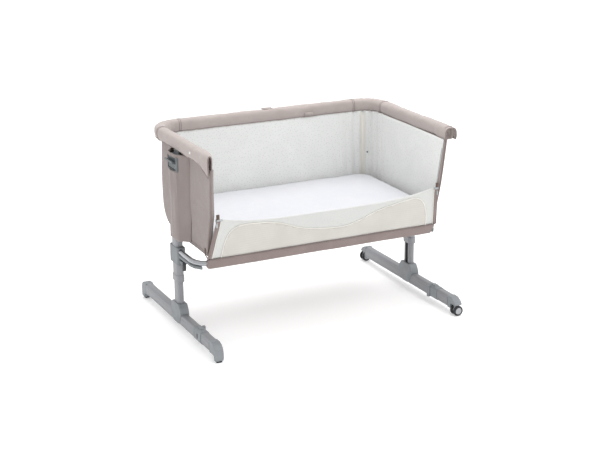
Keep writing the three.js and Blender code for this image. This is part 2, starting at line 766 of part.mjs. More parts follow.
// The dark release latch that hangs in front of the housing.
function frameLatch() {
  const y = LATCH_PIVOT_Y;
  const low = LATCH_PIVOT_Z - LATCH_L;
  const outline = polygon(
    [y + 1.5, low],
    ...arc(y, LATCH_PIVOT_Z, 3.5, 0, 2),
    [y - 6, LATCH_PIVOT_Z - 9],
    [y - 6, LATCH_PIVOT_Z - 19],
    [y - 3, low],
  );
  const blade = prismX(outline, LATCH_X0, LATCH_X1, 0.8);
  const trunnion = rod(
    LATCH_PIN_R,
    at(LATCH_X0 - LATCH_EAR, y, LATCH_PIVOT_Z),
    at(LATCH_X1 + LATCH_EAR, y, LATCH_PIVOT_Z),
  );
  return join(blade, trunnion);
}

// ---------------------------------------------------------------- frame tubes
// The front frame tube runs from one housing round under the flap's hem to the other.
function frameTube() {
  const start = RING_PLUG - HOUSING_D / 2;
  const corners = [
    at(RING_X, start, RING_Z),
    at(RING_X, -RING_FRONT, RING_Z),
    at(-RING_X, -RING_FRONT, RING_Z),
    at(-RING_X, start, RING_Z),
  ];
  return sweep(ring(RING_R, RING_R - RING_WALL), corners, RING_BEND);
}

function railCorners(front) {
  return [
    at(-RAIL_X, -front, RAIL_Z),
    at(-RAIL_X, RAIL_BACK, RAIL_Z),
    at(RAIL_X, RAIL_BACK, RAIL_Z),
    at(RAIL_X, -front, RAIL_Z),
  ];
}

function railTube() {
  const section = ring(RAIL_TUBE_R, RAIL_TUBE_R - RAIL_TUBE_WALL);
  return sweep(section, railCorners(RAIL_FRONT - RAIL_TUBE_SHORT), RAIL_BEND);
}

function padOutline() {
  return shape(rectPoints(RAIL_H, RAIL_W, RAIL_W / 2 - 2), circlePoints(RAIL_TUBE_R + CLEAR));
}

function lug(grow) {
  const top = RAIL_Z - RAIL_TUBE_R - CLEAR;
  const x = RAIL_X + LUG_OUT;
  return box(
    x - grow,
    x + LUG_T + grow,
    -LUG_D / 2 - grow,
    LUG_D / 2 + grow,
    LEVER_TOP - 2,
    top + grow,
  );
}

function sidePad() {
  const corners = [
    at(RAIL_X, -RAIL_FRONT, RAIL_Z),
    at(RAIL_X, RAIL_BACK, RAIL_Z),
    at(SEAM_X, RAIL_BACK, RAIL_Z),
  ];
  return cut(sweep(padOutline(), corners, RAIL_BEND), lug(CLEAR));
}

function backPad() {
  const end = SEAM_X - 2 * CLEAR;
  return sweep(padOutline(), [at(-end, RAIL_BACK, RAIL_Z), at(end, RAIL_BACK, RAIL_Z)], RAIL_BEND);
}

// ---------------------------------------------------------------- height lever
function leverBlock() {
  const seat = prismZ(leverSeat(), LEVER_LOW + CLEAR, LEVER_TOP, 1);
  const half = LEVER_D / 2 + 2 * CLEAR;
  const recess = box(LEVER_X - 3, LENGTH, -half, half, LEVER_LOW + 4, LENGTH);
  const pivot = rod(
    PIVOT_R + RUN,
    at(LEVER_PIVOT_X, -LEVER_D / 2 - 3, LEVER_PIVOT_Z),
    at(LEVER_PIVOT_X, LEVER_D / 2 + 3, LEVER_PIVOT_Z),
  );
  return join(cut(seat, recess, pivot), lug(0));
}

function heightLever() {
  const low = LEVER_LOW + 6;
  const half = LEVER_D / 2;
  const plate = prismX(
    roundedRect(LEVER_D, LEVER_TOP - 2 - low, 4, 0, (LEVER_TOP - 2 + low) / 2),
    LEVER_X,
    LEVER_X + LEVER_T,
    0.8,
  );
  const lipOutline = polygon(
    [LEVER_X + 1, LIP_Z - 4],
    [LEVER_X + LEVER_LIP, LIP_Z + 3],
    [LEVER_X + LEVER_LIP + 2, LIP_Z + 9],
    [LEVER_X + LEVER_LIP - 2, LIP_Z + 9],
    [LEVER_X + 1, LIP_Z + 3],
  );
  const lip = prismY(lipOutline, -half + 2, half - 2, 1);
  const barrel = rod(
    PIVOT_R,
    at(LEVER_PIVOT_X, -half - 2, LEVER_PIVOT_Z),
    at(LEVER_PIVOT_X, half + 2, LEVER_PIVOT_Z),
  );
  return join(plate, lip, barrel);
}

// ---------------------------------------------------------------- fabric tub
// The end wall's outline: its front edge leans out above the zip's end and in below it.
function panelFrontY(z) {
  const lean = z > ZIP_Z ? -ZIP_LEAN : FOOT_LEAN;
  return -(FOLD_Y - ZIP_IN) + lean * Math.abs(z - ZIP_Z);
}

function endPanel() {
  const back = RAIL_BACK - RAIL_BEND;
  const outline = polygon(
    [panelFrontY(TUB_FLOOR), TUB_FLOOR],
    [back - CLEAR, TUB_FLOOR],
    [back - CLEAR, WALL_TOP],
    [panelFrontY(WALL_TOP) + 6, WALL_TOP],
    [panelFrontY(WALL_TOP - 12), WALL_TOP - 12],
    [panelFrontY(ZIP_Z), ZIP_Z],
  );
  return prismX(outline, PANEL_IN, PANEL_OUT);
}

// The back wall runs straight and turns both corners, level with the rail above it.
function backPanel() {
  const bend = RAIL_BEND - (RAIL_X - (PANEL_OUT + PANEL_IN) / 2);
  const middle = (PANEL_OUT + PANEL_IN) / 2;
  const start = RAIL_BACK - RAIL_BEND;
  const height = WALL_TOP - TUB_FLOOR;
  const level = (WALL_TOP + TUB_FLOOR) / 2;
  const outline = polygon(
    [-height / 2, -PANEL_T / 2],
    [height / 2, -PANEL_T / 2],
    [height / 2, PANEL_T / 2],
    [-height / 2, PANEL_T / 2],
  );
  const corners = [
    at(-middle, start, level),
    at(-middle, BACK_WALL_Y, level),
    at(middle, BACK_WALL_Y, level),
    at(middle, start, level),
  ];
  return sweep(outline, corners, bend);
}

function leaningSheet(low, high, offset, thickness, halfLow, halfHigh) {
  const faceY = (z) => wallY(z) - offset;
  const outline = polygon(
    [faceY(low) - thickness, low],
    [faceY(low), low],
    [faceY(high), high],
    [faceY(high) - thickness, high],
  );
  const half = Math.max(halfLow, halfHigh);
  const sheet = prismX(outline, -half, half);
  const flare = Math.abs(halfLow - halfHigh);
  if (!flare) return sheet;
  const trims = [-1, 1].map((side) => {
    const corners = [
      [side * (half - flare), high + 1],
      [side * (half + 1), high + 1],
      [side * (half + 1), low],
      [side * half, low],
    ];
    return prismY(polygon(...(side > 0 ? corners : corners.reverse())), -DEPTH, 0);
  });
  return cut(sheet, ...trims);
}

function frontWall() {
  const half = PANEL_IN - 1;
  return leaningSheet(TUB_FLOOR + BOARD_T + 1, FOLD_Z - 2, -WALL_T, WALL_T, half, half);
}

function frontFlap() {
  return leaningSheet(HEM_TOP + CLEAR, FOLD_Z - 1, FLAP_OFF, FLAP_T, FLARE_AT_HEM, FLAP_HALF);
}

function flapHem() {
  const wide = FLAP_HALF + FLAP_FLARE;
  return leaningSheet(FLAP_LOW, HEM_TOP, FLAP_OFF, HEM_T, wide, FLARE_AT_HEM);
}

// A plan of the tub's inside: square at the open front, round at both back corners.
function planInside(gap, front) {
  const half = PANEL_IN - gap;
  const back = INNER_BACK - gap;
  const bend = INNER_BEND - gap;
  return polygon(
    [-half, front],
    [half, front],
    ...arc(half - bend, back - bend, bend, 0, 1, 2 * ARC),
    ...arc(bend - half, back - bend, bend, 1, 2, 2 * ARC),
  );
}

function baseBoard() {
  const plan = planInside(2, wallY(TUB_FLOOR) + 4);
  return prismZ(plan, TUB_FLOOR, TUB_FLOOR + BOARD_T);
}

function mattress() {
  const gap = WALL_T + 3;
  const backY = INNER_BACK - 3;
  const outline = polygon(
    [wallY(MATTRESS_LOW) + gap, MATTRESS_LOW],
    [backY, MATTRESS_LOW],
    [backY, MATTRESS_TOP],
    [wallY(MATTRESS_TOP) + gap, MATTRESS_TOP],
  );
  const half = PANEL_IN - MATTRESS_IN;
  const slab = prismX(outline, -half, half, 5);
  const plan = planInside(3, -DEPTH);
  return slab.intersect(prismZ(plan, MATTRESS_LOW - 10, MATTRESS_TOP + 10));
}

// ---------------------------------------------------------------- upright's fabric pocket
function pocketOutline(inset) {
  const reach = LEG_X + UPRIGHT_W / 2 + 0.5 + POCKET_T - inset;
  const root = PANEL_OUT + CLEAR;
  const front = -POCKET_FRONT + inset;
  const back = POCKET_BACK - inset;
  const shoulder = UPRIGHT_D / 2 + 8 - inset;
  return [
    [root, front],
    [reach - 12, -shoulder - 6],
    [reach, -shoulder + 4],
    [reach, shoulder - 4],
    [reach - 12, shoulder + 6],
    [root, back],
  ];
}

function pocket() {
  const inner = pocketOutline(POCKET_T).reverse();
  const sleeve = prismZ(polygon(...pocketOutline(0), ...inner), POCKET_LOW, WALL_TOP - 4);
  const half = LEVER_D / 2 + 5.5;
  return cut(sleeve, box(PANEL_OUT + 6, LENGTH, -half, half, LEVER_LOW - 1, RAIL_TOP));
}

// ---------------------------------------------------------------- small fittings
// A zip slider sits at the lower end of its zip, beside the flap's corner.
function zipSlider() {
  const x = FLAP_HALF + 10;
  const y = -(FOLD_Y + 4);
  const body = prismX(roundedRect(5, 12, 1.5, y, ZIP_Z), x - 3, x + 3, 0.5);
  const tab = prismX(roundedRect(1.6, 22, 0.7, y - 3, ZIP_Z - 12), x - 2.5, x + 2.5);
  return join(body, tab);
}

// A webbing loop on the frame tube's corner ties the tub's lower corner down.
function strapLoop() {
  const inner = RING_R + LOOP_PLAY;
  const outer = inner + WEBBING_T;
  const x = RING_X - RING_BEND * (1 - Math.cos(LOOP_TURN));
  const y = -RING_FRONT + RING_BEND * (1 - Math.sin(LOOP_TURN));
  const along = at(-Math.sin(LOOP_TURN), -Math.cos(LOOP_TURN), 0);
  const middle = at(x, y, RING_Z);
  const ends = [-0.5, 0.5].map((k) => middle.clone().addScaledVector(along, k * LOOP_W));
  const band = sweep(ring(outer, inner), ends, 1);
  const sewn = PANEL_OUT + CLEAR;
  const tail = polygon(
    [x - 1, RING_Z + inner],
    [x + WEBBING_T, RING_Z + inner],
    [sewn + WEBBING_T, TUB_FLOOR],
    [sewn + WEBBING_T, TUB_FLOOR + 22],
    [sewn, TUB_FLOOR + 22],
    [sewn, TUB_FLOOR],
  );
  return join(band, prismY(tail, y - LOOP_W / 3, y + LOOP_W / 3));
}

// ---------------------------------------------------------------- assembly
function tubSide(side) {
  return [
    piece(`${side}_rail_pad`, sidePad(), taupeFabric),
    piece(`${side}_end_panel`, endPanel(), taupeFabric),
    piece(`${side}_pocket`, pocket(), taupeFabric),
    piece(`${side}_upright`, uprightTube(), paintedSteel),
    piece(`${side}_frame_housing`, frameHousing(), greyPlastic),
    piece(`${side}_frame_latch`, frameLatch(), darkPlastic),
    piece(`${side}_lock_pin`, lockPin(), bareSteel),
    piece(`${side}_lever_block`, leverBlock(), slatePlastic),
    piece(`${side}_height_lever`, heightLever(), slatePlastic),
    piece(`${side}_zip_slider`, zipSlider(), bareSteel),
    piece(`${side}_strap_loop`, strapLoop(), brownWebbing),
  ];
}

function standSide(side) {
  const bar = barRun(HINGE_BACK + CLEAR, BACK_CAP_Y - CLEAR);
  const frontBar = barRun(FRONT_CAP_Y + CLEAR, HINGE_FRONT - CLEAR);
  const pinFrom = KNUCKLES[0] + 0.5;
  const pinTo = KNUCKLES[3] - 0.5;
  return [
    piece(`${side}_leg`, lowerLeg(), paintedSteel),
    piece(`${side}_leg_foot`, legFoot(), greyPlastic),
    piece(`${side}_bar`, bar, paintedSteel),
    piece(`${side}_hinge_fixed`, hingeFixed(), greyPlastic),
    piece(`${side}_hinge_pin`, upright(HINGE_PIN_R, pinFrom, pinTo), bareSteel),
    piece(`${side}_hinge_swing`, hingeSwing(), greyPlastic),
    piece(`${side}_front_bar`, frontBar, paintedSteel),
    piece(`${side}_latch_button`, latchButton(), darkPlastic),
  ];
}

function fixedFeet(side) {
  return [
    piece(`${side}_front_cap`, footCap(), greyPlastic),
    piece(`${side}_front_pad`, footPad(-TIP + 1.5, -TIP + 1.5 + PAD_FRONT_L), rubber),
    piece(`${side}_back_cap`, backCap(), greyPlastic),
    piece(`${side}_back_pad`, footPad(TIP - 3 - PAD_BACK_L, TIP - 3), rubber),
  ];
}

function casterEnd(side, end, direction) {
  const near = TIP - WHEEL_W;
  const far = near - WHEEL_W - WHEEL_GAP;
  const span = (from) => (direction > 0 ? [from, from + WHEEL_W] : [-from - WHEEL_W, -from]);
  return [
    piece(`${side}_${end}_cap`, casterCap(direction), greyPlastic),
    piece(`${side}_${end}_axle`, axle(direction), bareSteel),
    piece(`${side}_${end}_wheel_outer`, wheel(...span(near)), rubber),
    piece(`${side}_${end}_wheel_inner`, wheel(...span(far)), rubber),
  ];
}

function middlePieces() {
  return [
    piece("rail_tube", railTube(), paintedSteel),
    piece("back_rail_pad", backPad(), taupeFabric),
    piece("back_panel", backPanel(), whiteLining),
    piece("front_wall", frontWall(), whiteLining),
    piece("front_flap", frontFlap(), meshFabric),
    piece("flap_hem", flapHem(), mauveBinding),
    piece("base_board", baseBoard(), greyPlastic),
    piece("mattress", mattress(), whiteSheet),
    piece("frame_tube", frameTube(), bareSteel),
  ];
}

const right = new THREE.Group();
right.add(...tubSide("right"), ...standSide("right"));
right.add(...casterEnd("right", "front", -1), ...casterEnd("right", "back", 1));

const left = new THREE.Group();
left.add(...tubSide("left"), ...standSide("left"), ...fixedFeet("left"));
left.scale.x = -1;

const bassinet = new THREE.Group();
bassinet.add(...middlePieces(), right, left);

export default bassinet;
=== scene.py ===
# Bedside bassinet: fabric tub, padded rail and drop-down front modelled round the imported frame.
# Metres, +Z up, X along the crib, -Y its open front, origin on the floor below its middle.
import math

import bmesh
import bpy
from mathutils import Matrix, Vector, noise
from mathutils.geometry import delaunay_2d_cdt


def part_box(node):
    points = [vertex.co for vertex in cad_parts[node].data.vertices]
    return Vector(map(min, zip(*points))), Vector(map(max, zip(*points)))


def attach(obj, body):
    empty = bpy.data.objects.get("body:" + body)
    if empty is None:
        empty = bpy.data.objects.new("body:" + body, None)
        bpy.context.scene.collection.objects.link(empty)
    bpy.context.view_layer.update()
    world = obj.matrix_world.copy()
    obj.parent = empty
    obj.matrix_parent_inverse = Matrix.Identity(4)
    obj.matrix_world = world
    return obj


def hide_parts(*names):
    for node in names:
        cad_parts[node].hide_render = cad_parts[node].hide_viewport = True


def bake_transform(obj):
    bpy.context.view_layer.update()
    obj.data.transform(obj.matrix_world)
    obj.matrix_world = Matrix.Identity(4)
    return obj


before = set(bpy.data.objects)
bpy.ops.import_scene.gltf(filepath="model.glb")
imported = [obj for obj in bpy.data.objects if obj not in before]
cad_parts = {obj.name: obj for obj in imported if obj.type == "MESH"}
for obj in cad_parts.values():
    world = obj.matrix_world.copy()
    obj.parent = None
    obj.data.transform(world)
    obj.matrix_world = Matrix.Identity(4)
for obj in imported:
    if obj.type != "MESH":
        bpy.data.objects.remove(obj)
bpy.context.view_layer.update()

# ---- sizes
SIDES = (("left", -1), ("right", 1))
SEAM_R = 0.0008
SEAM_LIFT = 0.0001  # seams lie this far above the cloth
PIPING_R = 0.0022

# The padded rail. Within SLACK_L of its front ends its sleeve is empty and loses its shape.
RAIL_LOW, RAIL_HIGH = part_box("right_rail_pad")
RAIL_W = 0.041
RAIL_H = RAIL_HIGH[2] - RAIL_LOW[2]
RAIL_X = RAIL_HIGH[0] - RAIL_W / 2
RAIL_Z = (RAIL_HIGH[2] + RAIL_LOW[2]) / 2
RAIL_BACK = RAIL_HIGH[1] - RAIL_W / 2
RAIL_FRONT = -RAIL_LOW[1]
RAIL_BEND = 0.075
SLACK_L = 0.075
SLACK_LOW = {-1: 0.601, 1: 0.624}  # the outer cloth hangs down to here at each front edge
SLACK_DROOP = 0.006
SLACK_SHUT = 0.30  # the left end is pressed to this share of its width, the right one gapes
SLEEVE_IN = 0.012  # the sleeve's closed end is set back under the slack cloth
SLACK_TURN = 222  # degrees that the slack cloth goes round the sleeve before it hangs

# The fabric walls: both end walls and the back wall are one U in plan.
WALL_LOW, WALL_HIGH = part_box("right_end_panel")
WALL_X = WALL_HIGH[0]
WALL_T = WALL_HIGH[0] - WALL_LOW[0]
WALL_FOOT = WALL_LOW[2]
WALL_TOP = RAIL_LOW[2] + 0.006
WALL_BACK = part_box("back_panel")[1][1]
WALL_BEND = RAIL_BEND - (RAIL_X - WALL_X)
HEM_W = 0.009
ZIP_AT = (-0.236, 0.444)  # y and z where the end walls' front edge bends and its zip starts
ZIP_LEAN = 0.296
FOOT_LEAN = 0.273
ZIP_SHORT = 0.030  # the zip stops this far below the walls' top
TOOTH_PITCH = 0.0032
TOOTH_HALF = (0.0012, 0.0016, 0.0008)
PANEL_SEAM_Y = -0.078
TUCK_FROM = 0.402  # below this height the walls' rear part curves in, by up to TUCK_IN
TUCK_IN = 0.022
TUCK_Y = 0.045  # the tuck starts here and is whole TUCK_RUN further back
TUCK_RUN = 0.06
SWAY_FROM = 0.455  # above this height each end wall's front corner stands outwards by its SWAY
SWAY = {-1: 0.019, 1: -0.009}
STUD_Z = 0.469
SEAM_STRIP = (0.369, 0.388)  # from the middle, a cream strip up each rear corner of the lining
PLEAT = 0.0052
PLEAT_PITCH = 0.037

# The drop-down front: one cloth up the low wall, over its fold and down the flap to the hem.
FOLD_AXIS = (-0.243, 0.432)  # y and z of the hinge line
FRONT_AT = (-0.240, 0.430)  # y and z of a point on the low wall
FRONT_LEAN = 0.281
FRONT_FOOT = WALL_FOOT + 0.010
FRONT_NEAR = 0.0015  # the low wall's cloth stands behind the plane by this
FLAP_OFF = 0.0075  # and the flap's cloth hangs in front of it by this
CLOTH_T = 0.0022
FLAP_HALF = 0.4003
FLAP_FLARE = 0.024
FLAP_H = 0.162
FOLD_MIDDLE = 0.417
FOLD_RISE = 0.030
WALL_END = 0.44  # shares of the cloth's length where the low wall and the fold end
FOLD_END = 0.52
FRONT_PATTERN = 0.27  # length of cloth that the printed specks are laid out on
HEM_CUT = 0.024  # the hem's right end slants in by this much towards its lower edge
EDGE_BAND = 0.011  # mauve band down each free side of the flap
FLAP_LOW, HEM_TOP = (corner[2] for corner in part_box("flap_hem"))
# Corners of the net window's upper edge, above the hem, from its left foot to its right foot.
WINDOW = (
    (-0.384, -0.002), (-0.377, 0.050), (-0.364, 0.088), (-0.342, 0.107), (-0.310, 0.113),
    (-0.250, 0.110), (-0.195, 0.101), (-0.150, 0.086), (-0.110, 0.070), (-0.045, 0.056),
    (0.055, 0.049), (0.120, 0.064), (0.180, 0.088), (0.242, 0.102), (0.300, 0.113),
    (0.334, 0.113), (0.362, 0.092), (0.381, 0.045), (0.388, -0.002),
)

MATTRESS_LOW, MATTRESS_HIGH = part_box("mattress")
MATTRESS_BEND = 0.055
MATTRESS_NOSE = 0.014

# The pockets over the uprights.
POCKET_LOW, POCKET_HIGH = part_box("right_pocket")
POCKET_FRONT = -0.075
POCKET_BACK = 0.070
POCKET_NARROW = 0.010  # the foot is this much narrower each way
NARROW_FROM = 0.345
NARROW_RUN = 0.05
LEVER_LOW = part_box("right_lever_block")[0]
LEVER_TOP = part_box("right_height_lever")[1][2]
LEVER_GAP = 0.0405  # half the width of the opening for the height lever

WHEEL_DISC_R = 0.0124  # the pale disc inside the tyre
RAIL_STUD_Y = -0.141
TAB_X = 0.155

CAMERA_PLACE = (-1.974, -4.048, 1.730)
CAMERA_ANGLES = (-26.07, 17.6, 0.36)  # degrees: azimuth, tilt down, roll
CAMERA_LENS = 81.07
LIT_MIDDLE = (0, 0, 0.35)


# ---- camera, floor and light
def placed(name, data):
    made = bpy.data.objects.new(name, data)
    bpy.context.scene.collection.objects.link(made)
    return made


def add_camera():
    data = bpy.data.cameras.new("camera")
    data.lens = CAMERA_LENS
    camera = placed("camera", data)
    azimuth, elevation, roll = (math.radians(a) for a in CAMERA_ANGLES)
    facing = Matrix.Rotation(azimuth, 4, "Z") @ Matrix.Rotation(math.pi / 2 - elevation, 4, "X")
    rolled = facing @ Matrix.Rotation(-roll, 4, "Z")
    camera.matrix_world = Matrix.Translation(CAMERA_PLACE) @ rolled
    bpy.context.scene.camera = camera


def add_area(name, place, size, power):
    data = bpy.data.lights.new(name, "AREA")
    data.shape = "DISK"
    data.size = size
    data.energy = power
    light = placed(name, data)
    light.location = place
    aim = Vector(LIT_MIDDLE) - Vector(place)
    light.rotation_euler = aim.to_track_quat("-Z", "Y").to_euler()


def add_studio():
    scene = bpy.context.scene
    world = bpy.data.worlds.new("studio")
    world.use_nodes = True
    world.node_tree.nodes["Background"].inputs["Color"].default_value = (1, 1, 1, 1)
    world.node_tree.nodes["Background"].inputs["Strength"].default_value = 1.0
    scene.world = world
    scene.view_settings.view_transform = "Standard"
    add_area("key", (1.5, -2.2, 3.2), 2.2, 26)
    add_area("fill", (2.8, -1.6, 2.0), 2.4, 4)
    add_area("top", (0.3, 0.6, 3.2), 2.6, 52)
    bpy.ops.mesh.primitive_plane_add(size=60, location=(0, 0, -0.0005))
    floor = bpy.context.object
    floor.name = "floor"
    paper = plain("floor_white", (0.93, 0.93, 0.93), 0.9)
    shader = paper.node_tree.nodes["Principled BSDF"]
    shader.inputs["Emission Color"].default_value = (1, 1, 1, 1)
    shader.inputs["Emission Strength"].default_value = 0.22
    floor.data.materials.append(paper)


# ---- materials
def srgb(red, green, blue):
    """A colour on the 0 to 255 display scale, as the linear values that a shader takes."""
    linear = []
    for value in (red, green, blue):
        share = value / 255
        linear.append(share / 12.92 if share <= 0.04045 else ((share + 0.055) / 1.055) ** 2.4)
    return (*linear, 1)


class Look:
    """A principled material under construction, with the few nodes that every finish needs."""

    def __init__(self, name, roughness, metallic=0.0):
        self.material = bpy.data.materials.new(name)
        self.material.use_nodes = True
        self.tree = self.material.node_tree
        self.shader = self.tree.nodes["Principled BSDF"]
        self.shader.inputs["Metallic"].default_value = metallic
        self.shader.inputs["Roughness"].default_value = roughness
        self.coordinates = self.add("ShaderNodeTexCoord").outputs["Object"]

    def add(self, kind, **settings):
        node = self.tree.nodes.new(kind)
        for name, value in settings.items():
            setattr(node, name, value)
        return node

    def link(self, source, target):
        self.tree.links.new(source, target)

    def feed(self, socket, source):
        self.link(source, self.shader.inputs[socket])

    def noise(self, scale, detail):
        node = self.add("ShaderNodeTexNoise")
        node.inputs["Scale"].default_value = scale
        node.inputs["Detail"].default_value = detail
        self.link(self.coordinates, node.inputs["Vector"])
        return node.outputs["Fac"]

    def blend(self, share, first, second):
        node = self.add("ShaderNodeMix", data_type="RGBA")
        self.link(share, node.inputs["Factor"])
        for socket, value in ((node.inputs[6], first), (node.inputs[7], second)):
            if isinstance(value, tuple):
                socket.default_value = value
            else:
                self.link(value, socket)
        return node.outputs[2]

    def ramp(self, source, low, high):
        node = self.add("ShaderNodeMapRange")
        node.inputs["From Min"].default_value = low
        node.inputs["From Max"].default_value = high
        self.link(source, node.inputs["Value"])
        return node.outputs["Result"]

    def bump(self, height, depth, strength, under=None):
        node = self.add("ShaderNodeBump")
        node.inputs["Distance"].default_value = depth
        node.inputs["Strength"].default_value = strength
        self.link(height, node.inputs["Height"])
        if under is not None:
            self.link(under, node.inputs["Normal"])
        return node.outputs["Normal"]

    def weave(self, pitch):
        """Threads at a real pitch, crossing on a surface that faces any way."""
        scaled = self.add("ShaderNodeVectorMath", operation="SCALE")
        scaled.inputs["Scale"].default_value = math.tau / pitch
        self.link(self.coordinates, scaled.inputs[0])
        waves = self.add("ShaderNodeVectorMath", operation="SINE")
        self.link(scaled.outputs["Vector"], waves.inputs[0])
        total = self.add("ShaderNodeVectorMath", operation="DOT_PRODUCT")
        total.inputs[1].default_value = (0.5, 0.5, 0.5)
        self.link(waves.outputs["Vector"], total.inputs[0])
        return total.outputs["Value"]

    def dots(self, spacing, size):
        """Scattered printed specks, laid out on the cloth's own length and height."""
        cloth = self.add("ShaderNodeAttribute", attribute_name="cloth")
        cells = self.add("ShaderNodeTexVoronoi", voronoi_dimensions="2D")
        cells.inputs["Scale"].default_value = 1 / spacing
        self.link(cloth.outputs["Vector"], cells.inputs["Vector"])
        reach = size / spacing
        return self.ramp(cells.outputs["Distance"], 1.3 * reach, 0.7 * reach)


def fabric(name, colour, shade, pitch=0.0011, sheen=0.25, specks=None):
    look = Look(name, 0.92)
    cloudy = look.ramp(look.noise(14, 3), 0.3, 0.7)
    cloth = look.blend(cloudy, srgb(*colour), srgb(*shade))
    thread = look.ramp(look.weave(pitch), -1.2, 1.2)
    tinted = look.blend(thread, srgb(*shade), cloth)
    if specks:
        tinted = look.blend(look.dots(0.0115, 0.0011), tinted, srgb(*specks))
    look.feed("Base Color", tinted)
    fold = look.bump(look.noise(30, 4), 0.004, 0.18)
    look.feed("Normal", look.bump(thread, 0.0004, 0.5, fold))
    finish = {"Sheen Weight": sheen, "Sheen Roughness": 0.5, "Specular IOR Level": 0.2}
    for socket, value in finish.items():
        look.shader.inputs[socket].default_value = value
    return look.material


def moulded(name, colour, roughness=0.5):
    look = Look(name, roughness)
    tone = tuple(int(0.9 * c) for c in colour)
    shade = look.blend(look.ramp(look.noise(22, 3), 0.3, 0.7), srgb(*colour), srgb(*tone))
    look.feed("Base Color", shade)
    look.feed("Normal", look.bump(look.noise(2600, 2), 0.0002, 0.35))
    worn = look.add("ShaderNodeMapRange")
    worn.inputs["To Min"].default_value = roughness - 0.08
    worn.inputs["To Max"].default_value = roughness + 0.1
    look.link(look.noise(60, 3), worn.inputs["Value"])
    look.feed("Roughness", worn.outputs["Result"])
    return look.material


def painted(name, colour):
    look = Look(name, 0.42, 0.25)
    tone = tuple(int(0.93 * c) for c in colour)
    flakes = look.blend(look.ramp(look.noise(3200, 1), 0.35, 0.65), srgb(*colour), srgb(*tone))
    look.feed("Base Color", flakes)
    look.feed("Normal", look.bump(look.noise(420, 2), 0.0002, 0.25))
    return look.material


def bright_steel(name):
    look = Look(name, 0.24, 1.0)
    share = look.ramp(look.noise(900, 2), 0.3, 0.7)
    streaks = look.blend(share, srgb(176, 177, 180), srgb(152, 154, 158))
    look.feed("Base Color", streaks)
    look.feed("Normal", look.bump(look.noise(700, 3), 0.0001, 0.2))
    return look.material


def plain(name, colour, roughness):
    look = Look(name, roughness)
    look.shader.inputs["Base Color"].default_value = (*colour, 1)
    return look.material


TAUPE = fabric("taupe_cloth", (151, 141, 138), (141, 131, 128))
# Painted light: the rail's cloth is the walls' taupe cloth, painted lighter to stand in for the light
# falling on the rail from above.
RAIL_TAUPE_PAINTED_LIGHTER = fabric("taupe_rail_cloth_painted_lighter", (178, 168, 164), (168, 158, 154))
MAUVE = fabric("mauve_binding_cloth", (145, 132, 128), (130, 117, 114), pitch=0.0008)
DARK_SEAM = fabric("seam_thread", (132, 119, 116), (118, 106, 103), pitch=0.0008)
LINING = fabric("white_lining_cloth", (231, 232, 230), (224, 225, 223), specks=(190, 193, 194))
# Painted shade: the flap's lining is the same white lining cloth as the walls, painted darker to stand
# in for the shade on the flap.
FLAP_LINING_PAINTED_SHADE = fabric("flap_lining_cloth_painted_shade", (204, 205, 202), (198, 199, 196), specks=(184, 187, 188))
SHEET = fabric("white_sheet_cloth", (209, 209, 213), (203, 204, 209), pitch=0.0007)
MESH = fabric("cream_mesh_cloth", (205, 202, 197), (191, 188, 182), pitch=0.0022, sheen=0.1)
CREAM = fabric("cream_binding_cloth", (233, 230, 223), (226, 223, 216), pitch=0.0008)
WEBBING = fabric("brown_webbing_cloth", (112, 92, 86), (94, 76, 70), pitch=0.0018)
PAINT = painted("leg_paint", (141, 142, 146))
GREY = moulded("grey_moulding", (122, 126, 129))
PALE_GREY = moulded("pale_grey_moulding", (134, 138, 142))
DARK = moulded("dark_moulding", (62, 62, 66), 0.55)
SLATE = moulded("slate_moulding", (92, 98, 101), 0.5)
PALE = moulded("pale_moulding", (176, 178, 181), 0.45)
STEEL = bright_steel("bright_steel")
RUBBER = moulded("wheel_rubber_dark", (46, 47, 50), 0.8)


# ---- mesh helpers
def new_object(name, points, faces, materials, cloth=None, shares=None):
    """A smooth mesh object. cloth holds each point's place on the flat cloth; shares its slots."""
    data = bpy.data.meshes.new(name)
    data.from_pydata([tuple(p) for p in points], [], faces)
    for material in materials:
        data.materials.append(material)
    for index, polygon in enumerate(data.polygons):
        polygon.use_smooth = True
        if shares:
            polygon.material_index = shares[index]
    if cloth:
        attribute = data.attributes.new("cloth", "FLOAT_VECTOR", "POINT")
        for index, place in enumerate(cloth):
            attribute.data[index].vector = (place[0], place[1], 0)
    data.update()
    return placed(name, data)


def outward(thing):
    """Turns every face of a closed mesh outwards."""
    mesh = bmesh.new()
    mesh.from_mesh(thing.data)
    bmesh.ops.recalc_face_normals(mesh, faces=mesh.faces)
    mesh.to_mesh(thing.data)
    mesh.free()
    return thing


def grid_faces(rows, columns, ring=False, loop=False, start=0, flip=False):
    """Quads of a grid of points stored row by row. A ring joins the last column to the first, and a
    loop joins the last row to the first."""
    faces = []
    for row in range(rows if loop else rows - 1):
        low = start + row * columns
        high = start + (row + 1) % rows * columns
        for column in range(columns if ring else columns - 1):
            after = (column + 1) % columns
            face = (low + column, low + after, high + after, high + column)
            faces.append(face[::-1] if flip else face)
    return faces


def capped_faces(rows, columns):
    """Faces of a stack of rings with a flat cap at each end."""
    faces = grid_faces(rows, columns, ring=True)
    faces.append(tuple(reversed(range(columns))))
    faces.append(tuple(range((rows - 1) * columns, rows * columns)))
    return faces


def spokes(sides):
    """The angles of evenly spaced points round a circle."""
    return [math.tau * step / sides for step in range(sides)]


